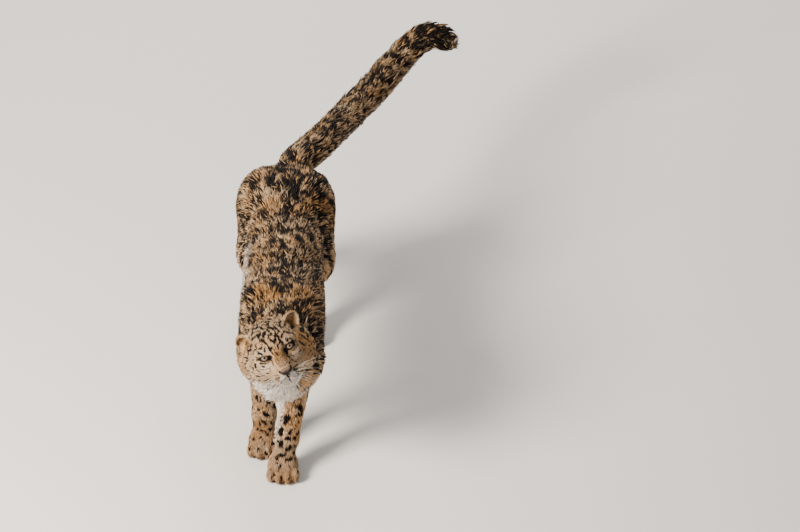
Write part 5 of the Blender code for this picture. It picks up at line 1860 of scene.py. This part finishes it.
class Whiskers:
    """Long pale hairs of the muzzle and brow."""

    sides = 5
    stations = 8
    thickness = 0.00020
    taper = 0.85
    sunk = 0.003
    droop = (0, 0, -0.16)

    def __init__(self, body: Body) -> None:
        """Keep the body, and seed the draw."""
        self.body = body
        self.draw = np.random.default_rng(COAT_SEED + 2)

    def hairs(self) -> list:
        """Give the root, direction and length of each hair."""
        head = self.body.head
        found = []
        for side in SIDES:
            for row in range(4):
                for k in range(4):
                    root = head.at(0.121 - 0.007 * k, side * (0.021 + 0.0045 * k), -0.040 - 0.0048 * row)
                    aim = head.axes().T @ [0.22 - 0.16 * k, side * (1.0 + 0.1 * k), -0.18 - 0.17 * row]
                    found.append((root, unit(aim), 0.040 + 0.009 * k))
            for k in range(3):
                root = head.at(0.074 - 0.004 * k, side * (0.030 + 0.005 * k), 0.030)
                aim = head.axes().T @ [0.30, side * (0.35 + 0.15 * k), 0.80]
                found.append((root, unit(aim), 0.026))
        return found

    def build(self, name: str) -> bpy.types.Object:
        """Build the whiskers as one mesh of fine tapered hairs.

        Args:
            name: The piece's name.

        Returns:
            The piece.
        """
        masses = self.body.masses()
        turns = math.tau * np.arange(self.sides)[:, None] / self.sides
        shares = np.arange(self.stations + 1)[:, None] / self.stations
        hairs = []
        for root, aim, length in self.hairs():
            away, outward = slope(root[None], masses)
            length *= self.draw.uniform(0.85, 1.15)
            aim = unit(aim + outward[0] * 0.35)
            first = unit(np.cross(aim, [0.3, 0.2, 1.0]))
            ring = np.cos(turns) * first + np.sin(turns) * np.cross(aim, first)
            root = root - (away[0] + self.sunk) * outward[0]
            middles = root + aim * length * shares + np.array(self.droop) * length * shares**2
            radii = self.thickness * (1 - shares * self.taper)
            rings = middles[:-1, None] + radii[:-1, None] * ring
            hairs.append(np.vstack([rings.reshape(-1, 3), middles[-1:]]))
        # Turned about, because these rings run the other way round than those of tufts
        faces = strand_faces(self.sides, self.stations)[:, ::-1]
        mesh = mesh_from_arrays(name, np.vstack(hairs), repeated(faces, len(hairs), len(hairs[0])))
        mesh.shade_smooth()
        return new_object(name, mesh)


def display_colour(code: str) -> tuple:
    """Turn a display colour such as c8a078 into the shader's linear one."""
    values = [int(code[i : i + 2], 16) / 255 for i in (0, 2, 4)]
    return (*[((v + 0.055) / 1.055) ** 2.4 if v > 0.04045 else v / 12.92 for v in values], 1.0)


class Nodes:
    """A short way to add and join shader nodes in a tree."""

    def __init__(self, tree: bpy.types.NodeTree) -> None:
        """Keep the tree."""
        self.tree = tree

    def add(self, kind: str, settings: dict | None = None, **inputs) -> bpy.types.Node:
        """Add a node.

        Args:
            kind: The node's type without its Shader prefix.
            settings: Its own settings.
            inputs: Values or sockets for its inputs, spaces written as underscores.

        Returns:
            The node.
        """
        node = self.tree.nodes.new(kind)
        for key, value in (settings or {}).items():
            setattr(node, key, value)
        for key, value in inputs.items():
            self.feed(node.inputs[int(key[1:]) if key[0] == "_" else key.replace("_", " ")], value)
        return node

    def feed(self, socket: bpy.types.NodeSocket, value: Feed) -> None:
        """Set an input to a value, or join it to an output."""
        if isinstance(value, bpy.types.NodeSocket):
            self.tree.links.new(value, socket)
        else:
            socket.default_value = value

    def maths(self, operation: str, first: Feed, second: Feed, clamp: bool = False) -> bpy.types.NodeSocket:
        """Give the result of a sum on two numbers."""
        node = self.add("ShaderNodeMath", {"operation": operation, "use_clamp": clamp}, _0=first, _1=second)
        return node.outputs[0]

    def mix(self, share: Feed, first: Feed, second: Feed, blend: str = "MIX") -> bpy.types.NodeSocket:
        """Give the colour between two colours."""
        settings = {"data_type": "RGBA", "blend_type": blend}
        return self.add("ShaderNodeMix", settings, _0=share, _6=first, _7=second).outputs[2]

    def noise(self, vector: Feed, scale: float, detail: float) -> bpy.types.NodeSocket:
        """Give soft noise from 0 to 1."""
        node = self.add("ShaderNodeTexNoise", None, Vector=vector, Scale=scale, Detail=detail)
        return node.outputs["Fac"]

    def place(self) -> bpy.types.NodeSocket:
        """Give the place in the piece's own space."""
        return self.add("ShaderNodeTexCoord").outputs["Object"]

    def attribute(self, label: str) -> bpy.types.NodeSocket:
        """Give the three numbers that the mesh stores under a name."""
        return self.add("ShaderNodeAttribute", {"attribute_name": label}).outputs["Vector"]

    def parts(self, vector: bpy.types.NodeSocket) -> bpy.types.bpy_prop_collection:
        """Give the three numbers of a vector on their own."""
        return self.add("ShaderNodeSeparateXYZ", None, Vector=vector).outputs

    def swing(self, value: bpy.types.NodeSocket, gain: float) -> bpy.types.NodeSocket:
        """Turn a number from 0 to 1 into one that swings about nothing."""
        return self.maths("MULTIPLY", self.maths("SUBTRACT", value, 0.5), gain)

    def graded(
        self, value: Feed, low: float, high: float, first: float = 0.0, last: float = 1.0, kind: str = "LINEAR"
    ) -> bpy.types.NodeSocket:
        """Move a number from the range of low to high into that of first to last."""
        limits = {"From_Min": low, "From_Max": high, "To_Min": first, "To_Max": last}
        node = self.add("ShaderNodeMapRange", {"interpolation_type": kind}, Value=value, **limits)
        return node.outputs["Result"]

    def relief(self, height: Feed, strength: float, distance: float) -> bpy.types.NodeSocket:
        """Give directions bent by fine relief."""
        node = self.add("ShaderNodeBump", None, Height=height, Strength=strength, Distance=distance)
        return node.outputs["Normal"]

    def finish(self, **inputs) -> None:
        """Feed the material's surface shader, spaces written as underscores."""
        shader = self.tree.nodes["Principled BSDF"]
        for key, value in inputs.items():
            self.feed(shader.inputs[key.replace("_", " ")], value)


def new_material(name: str) -> tuple[bpy.types.Material, Nodes]:
    """Start a material, and give a short way to add to its nodes."""
    material = bpy.data.materials.new(name)
    material.use_nodes = True
    return material, Nodes(material.node_tree)


def new_group(name: str, takes: tuple, gives: tuple) -> bpy.types.NodeTree:
    """Start a shader node group.

    Args:
        name: The group's name.
        takes: Names and socket types of its inputs.
        gives: Names and socket types of its outputs.

    Returns:
        The group's tree.
    """
    tree = bpy.data.node_groups.new(name, "ShaderNodeTree")
    for label, kind in takes:
        tree.interface.new_socket(label, in_out="INPUT", socket_type=kind)
    for label, kind in gives:
        tree.interface.new_socket(label, in_out="OUTPUT", socket_type=kind)
    return tree


COAT_COLOURS = ("Cream", "Gold", "White", "Mark", "Shade")


def coat_tone_group() -> bpy.types.NodeTree:
    """Build the group that turns markings and place on a strand into the coat's colour, with painted shade
    towards each tuft's root.
    """
    takes = [(label, "NodeSocketVector") for label in ("Pattern", "Strand")]
    takes += [(label, "NodeSocketColor") for label in COAT_COLOURS]
    gives = (("Colour", "NodeSocketColor"), ("Grain", "NodeSocketFloat"))
    nodes = Nodes(new_group("coat_tone", takes, gives))
    taken = nodes.add("NodeGroupInput").outputs
    dark, golden, pale = nodes.parts(taken["Pattern"])
    along, sideways, chance = nodes.parts(taken["Strand"])
    place = nodes.place()
    cloud = nodes.noise(place, 60, 3)
    hairs = nodes.noise(place, 420, 2)
    gold = nodes.maths("ADD", golden, nodes.swing(cloud, 0.9), True)
    ground = nodes.mix(gold, taken["Cream"], taken["Gold"])
    ground = nodes.mix(pale, ground, taken["White"])
    edge = nodes.maths("ADD", dark, nodes.swing(sideways, 0.42))
    edge = nodes.maths("ADD", edge, nodes.swing(hairs, 0.5))
    inked = nodes.graded(edge, 0.34, 0.66, kind="SMOOTHSTEP")
    marked = nodes.maths("MULTIPLY", inked, nodes.graded(dark, 0.02, 0.12))
    colour = nodes.mix(marked, ground, taken["Mark"])
    # Painted shade: each tuft darkens towards its root, where the coat shades itself
    colour = nodes.mix(nodes.graded(along, 0.05, 0.85, 0.92, 0.0), colour, taken["Shade"], "MULTIPLY")
    vary = nodes.graded(chance, 0.0, 1.0, 0.66, 1.22)
    hue = nodes.add("ShaderNodeHueSaturation", None, Color=colour, Value=vary)
    nodes.add("NodeGroupOutput", None, Colour=hue.outputs[0], Grain=hairs)
    return nodes.tree


@dataclass(frozen=True)
class FurFinish:
    """Colours of the coat, as display colours."""

    cream: str = "d6b48c"
    gold: str = "c08a4e"
    white: str = "faefe3"
    mark: str = "150b06"
    # Painted shade that the tufts darken to at their roots, and the skin between them
    shade: str = "4c3222"
    roughness: float = 0.72
    specular: float = 0.14
    grain: float = 0.25

    def material(self, name: str, tone: bpy.types.NodeTree) -> bpy.types.Material:
        """Make the material from the coat's tone group."""
        material, nodes = new_material(name)
        group = nodes.add("ShaderNodeGroup", {"node_tree": tone})
        for label in COAT_COLOURS:
            group.inputs[label].default_value = display_colour(getattr(self, label.lower()))
        for label in ("Pattern", "Strand"):
            nodes.feed(group.inputs[label], nodes.attribute(label.lower()))
        grain = group.outputs["Grain"]
        nodes.finish(
            Base_Color=group.outputs["Colour"],
            Roughness=nodes.graded(grain, 0.0, 1.0, self.roughness - 0.08, self.roughness + 0.10),
            Normal=nodes.relief(grain, self.grain, 0.0006),
            Specular_IOR_Level=self.specular,
        )
        return material


@dataclass(frozen=True)
class EyeFinish:
    """Wet eye: dark pupil, grey-green iris with fine rays, dark edge."""

    pupil: float = 0.19
    iris: float = 0.60
    black: str = "050403"
    inner: str = "80604a"
    outer: str = "6e6456"
    dusk: str = "4c463a"
    rim: str = "1a120d"

    def material(self, name: str) -> bpy.types.Material:
        """Make the material, which reads the distance from the line of sight."""
        material, nodes = new_material(name)
        out, beside, above = nodes.parts(nodes.attribute("gaze"))
        depth = nodes.maths("MULTIPLY", out, 0.35)
        rays = nodes.add("ShaderNodeCombineXYZ", None, X=beside, Y=above, Z=depth)
        streak = nodes.noise(rays.outputs[0], 9.0, 3)
        ring = nodes.add("ShaderNodeValToRGB", None, Fac=out)
        stops = ring.color_ramp.elements
        stops[0].color = display_colour(self.black)
        stops[-1].color = display_colour(self.rim)
        for position, code in (
            (self.pupil, self.black),
            (self.pupil + 0.03, self.inner),
            (self.iris - 0.16, self.outer),
            (self.iris - 0.03, self.dusk),
            (self.iris, self.rim),
        ):
            stops.new(position).color = display_colour(code)
        light = nodes.graded(streak, 0.0, 1.0, 0.55, 1.35)
        lid_shadow = nodes.graded(nodes.maths("MULTIPLY", out, above), -0.40, -0.12, 0.22, 1.0)
        light = nodes.maths("MULTIPLY", light, lid_shadow)
        colour = nodes.add("ShaderNodeHueSaturation", None, Color=ring.outputs["Color"], Value=light)
        nodes.finish(
            Base_Color=colour.outputs[0],
            Roughness=nodes.graded(streak, 0.0, 1.0, 0.10, 0.22),
            Specular_IOR_Level=0.12,
            Coat_Weight=0.30,
            Coat_Roughness=0.03,
        )
        return material


@dataclass(frozen=True)
class NoseFinish:
    """Pink-brown nose leather with dark edges and fine pebbles."""

    middle: str = "4c382d"
    mottle: str = "3c2a23"
    top: str = "5e4735"
    dark: str = "120a08"

    def material(self, name: str) -> bpy.types.Material:
        """Make the material, which reads how near the nostrils and the top edge are."""
        material, nodes = new_material(name)
        place = nodes.place()
        edge, top, _ = nodes.parts(nodes.attribute("leather"))
        mottle = nodes.noise(place, 500, 3)
        colour = nodes.mix(mottle, display_colour(self.middle), display_colour(self.mottle))
        colour = nodes.mix(top, colour, display_colour(self.top))
        cells = nodes.add("ShaderNodeTexVoronoi", None, Vector=place, Scale=1400.0)
        nodes.finish(
            Base_Color=nodes.mix(edge, colour, display_colour(self.dark)),
            Normal=nodes.relief(cells.outputs["Distance"], 0.35, 0.0004),
            Roughness=nodes.graded(mottle, 0.0, 1.0, 0.45, 0.62),
            Specular_IOR_Level=0.25,
        )
        return material


@dataclass(frozen=True)
class PlainFinish:
    """A smooth finish with slight cloudy variation, for whiskers and the floor."""

    light: str
    dark: str
    roughness: float
    scale: float

    def material(self, name: str) -> bpy.types.Material:
        """Make the material."""
        material, nodes = new_material(name)
        cloud = nodes.noise(nodes.place(), self.scale, 2)
        nodes.finish(
            Base_Color=nodes.mix(cloud, display_colour(self.light), display_colour(self.dark)),
            Roughness=nodes.graded(cloud, 0.0, 1.0, self.roughness - 0.05, self.roughness + 0.05),
        )
        return material


@dataclass(frozen=True)
class Studio:
    """Floor, soft lights and the camera at the photograph's angle."""

    elevation: float = math.radians(35)
    distance: float = 20.0
    pixels_per_metre: float = 370.0
    frame_width: int = 800
    sensor: float = 36
    middle: tuple = (117, 209)
    floor_size: float = 60.0
    aim: tuple = (0.05, 0.45, 0.30)
    sky: tuple = (0.92, 0.94, 1.0, 1)
    sky_strength: float = 0.42

    def camera(self) -> None:
        """Set the camera, high in front, as in the photograph."""
        rise, run = math.sin(self.elevation), math.cos(self.elevation)
        aside, above = (pixels / self.pixels_per_metre for pixels in self.middle)
        target = Vector((aside, above * rise, above * run))
        back = Vector((0, -run, rise))
        data = bpy.data.cameras.new("camera")
        data.sensor_width = self.sensor
        data.lens = self.sensor * self.distance / (self.frame_width / self.pixels_per_metre)
        data.clip_end = 100
        camera = new_object("camera", data)
        camera.location = target + back * self.distance
        camera.rotation_euler = (-back).to_track_quat("-Z", "Y").to_euler()
        bpy.context.scene.camera = camera

    def floor(self) -> bpy.types.Object:
        """Make the plain pale floor."""
        select()
        bpy.ops.mesh.primitive_plane_add(size=self.floor_size)
        piece = bpy.context.object
        piece.name = piece.data.name = "floor"
        piece.data.materials.append(PlainFinish("ded9d2", "d8d3cc", 0.9, 0.7).material("floor"))
        return piece

    def light(self, name: str, place: tuple, size: float, power: float, colour: tuple) -> None:
        """Add a soft area light at a place, aimed at the animal."""
        data = bpy.data.lights.new(name, "AREA")
        data.size = size
        data.energy = power
        data.color = colour
        lamp = new_object(name, data)
        lamp.location = place
        lamp.rotation_euler = (Vector(self.aim) - Vector(place)).to_track_quat("-Z", "Y").to_euler()

    def build(self) -> None:
        """Set up the whole studio."""
        self.camera()
        self.floor()
        self.light("key", (-3.0, -1.9, 2.75), 1.4, 640, (1.0, 0.95, 0.87))
        self.light("fill", (3.2, -1.6, 2.2), 2.6, 18, (0.94, 0.97, 1.0))
        self.light("back", (0.2, 3.6, 2.6), 2.2, 120, (1.0, 0.97, 0.93))
        world = bpy.data.worlds.new("studio")
        world.use_nodes = True
        background = world.node_tree.nodes["Background"].inputs
        background["Color"].default_value = self.sky
        background["Strength"].default_value = self.sky_strength
        bpy.context.scene.world = world


LEG_PARTS = ("foreleg_upper", "foreleg_lower", "forepaw", "hind_leg_upper", "hind_leg_lower", "hindpaw")
FLESH_NODES = (
    *("head", "neck", "torso"),
    *(f"{part}_{side}" for part in ("ear", *LEG_PARTS) for side in ("left", "right")),
    *(f"tail_{number}" for number in (1, 2, 3, 4)),
)
# Painted shade on the skin under the coat, as a place on a strand, and the lighter painted shade of the ears'
# barer skin
UNDERCOAT = (0.30, 0.5, 0.4)
EAR_UNDERCOAT = (0.72, 0.5, 0.5)


class SnowLeopard:
    """The whole animal: skin, coat, eyes, nose and whiskers."""

    def __init__(self) -> None:
        """Set up the forms."""
        self.body = Body()
        self.growth = Growth(self.body)
        self.fur = FurFinish().material("fur", coat_tone_group())

    def dress(self, piece: bpy.types.Object, material: bpy.types.Material) -> None:
        """Give a piece its material and slot, and let it ride on the body."""
        piece.data.materials.clear()
        piece.data.materials.append(material)
        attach(piece, "root")
        triangles = sum(len(face.vertices) - 2 for face in piece.data.polygons)
        LOG.info("%s: %d triangles", piece.name, triangles)

    def build_skin(self) -> tuple[Surface, Markings]:
        """Build the skin with its markings."""
        skin = Skin(self.body, self.growth)
        surface = skin.build()
        shares = self.body.shares(surface.points)
        markings = Markings(self.body, self.growth)
        places = surface.points + surface.normals * self.growth.sizes(surface.points, shares)[:, :1]
        markings.place_spots(places, surface.normals, shares)
        pattern = markings.shares(places, surface.normals, shares)
        set_vectors(skin.piece.data, "pattern", pattern)
        under = np.full((len(pattern), 3), UNDERCOAT)
        for side in SIDES:
            under[markings.on_ear(surface.points, side) > 0] = EAR_UNDERCOAT
        set_vectors(skin.piece.data, "strand", under)
        self.dress(skin.piece, self.fur)
        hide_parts(*FLESH_NODES)
        return surface, markings

    def build(self) -> None:
        """Build every piece."""
        surface, markings = self.build_skin()
        for piece in Coat(self.body, self.growth, markings, surface).build().values():
            self.dress(piece, self.fur)
        eyes = EyeFinish().material("eye")
        for side, word in ((1, "left"), (-1, "right")):
            eyeball = Eye(self.body.head, side).build(f"eyeball_{word}")
            self.dress(eyeball, eyes)
            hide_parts(f"eye_{word}")
        nose = Nose(self.body.head).build("nose_leather")
        self.dress(nose, NoseFinish().material("nose"))
        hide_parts("nose")
        whiskers = Whiskers(self.body).build("whiskers")
        self.dress(whiskers, PlainFinish("f4efe8", "e2dacd", 0.4, 90).material("whisker"))


def main() -> None:
    """Build the studio and the animal."""
    logging.basicConfig(level=logging.INFO, format="%(message)s")
    Studio().build()
    SnowLeopard().build()


if __name__ == "__main__":
    main()
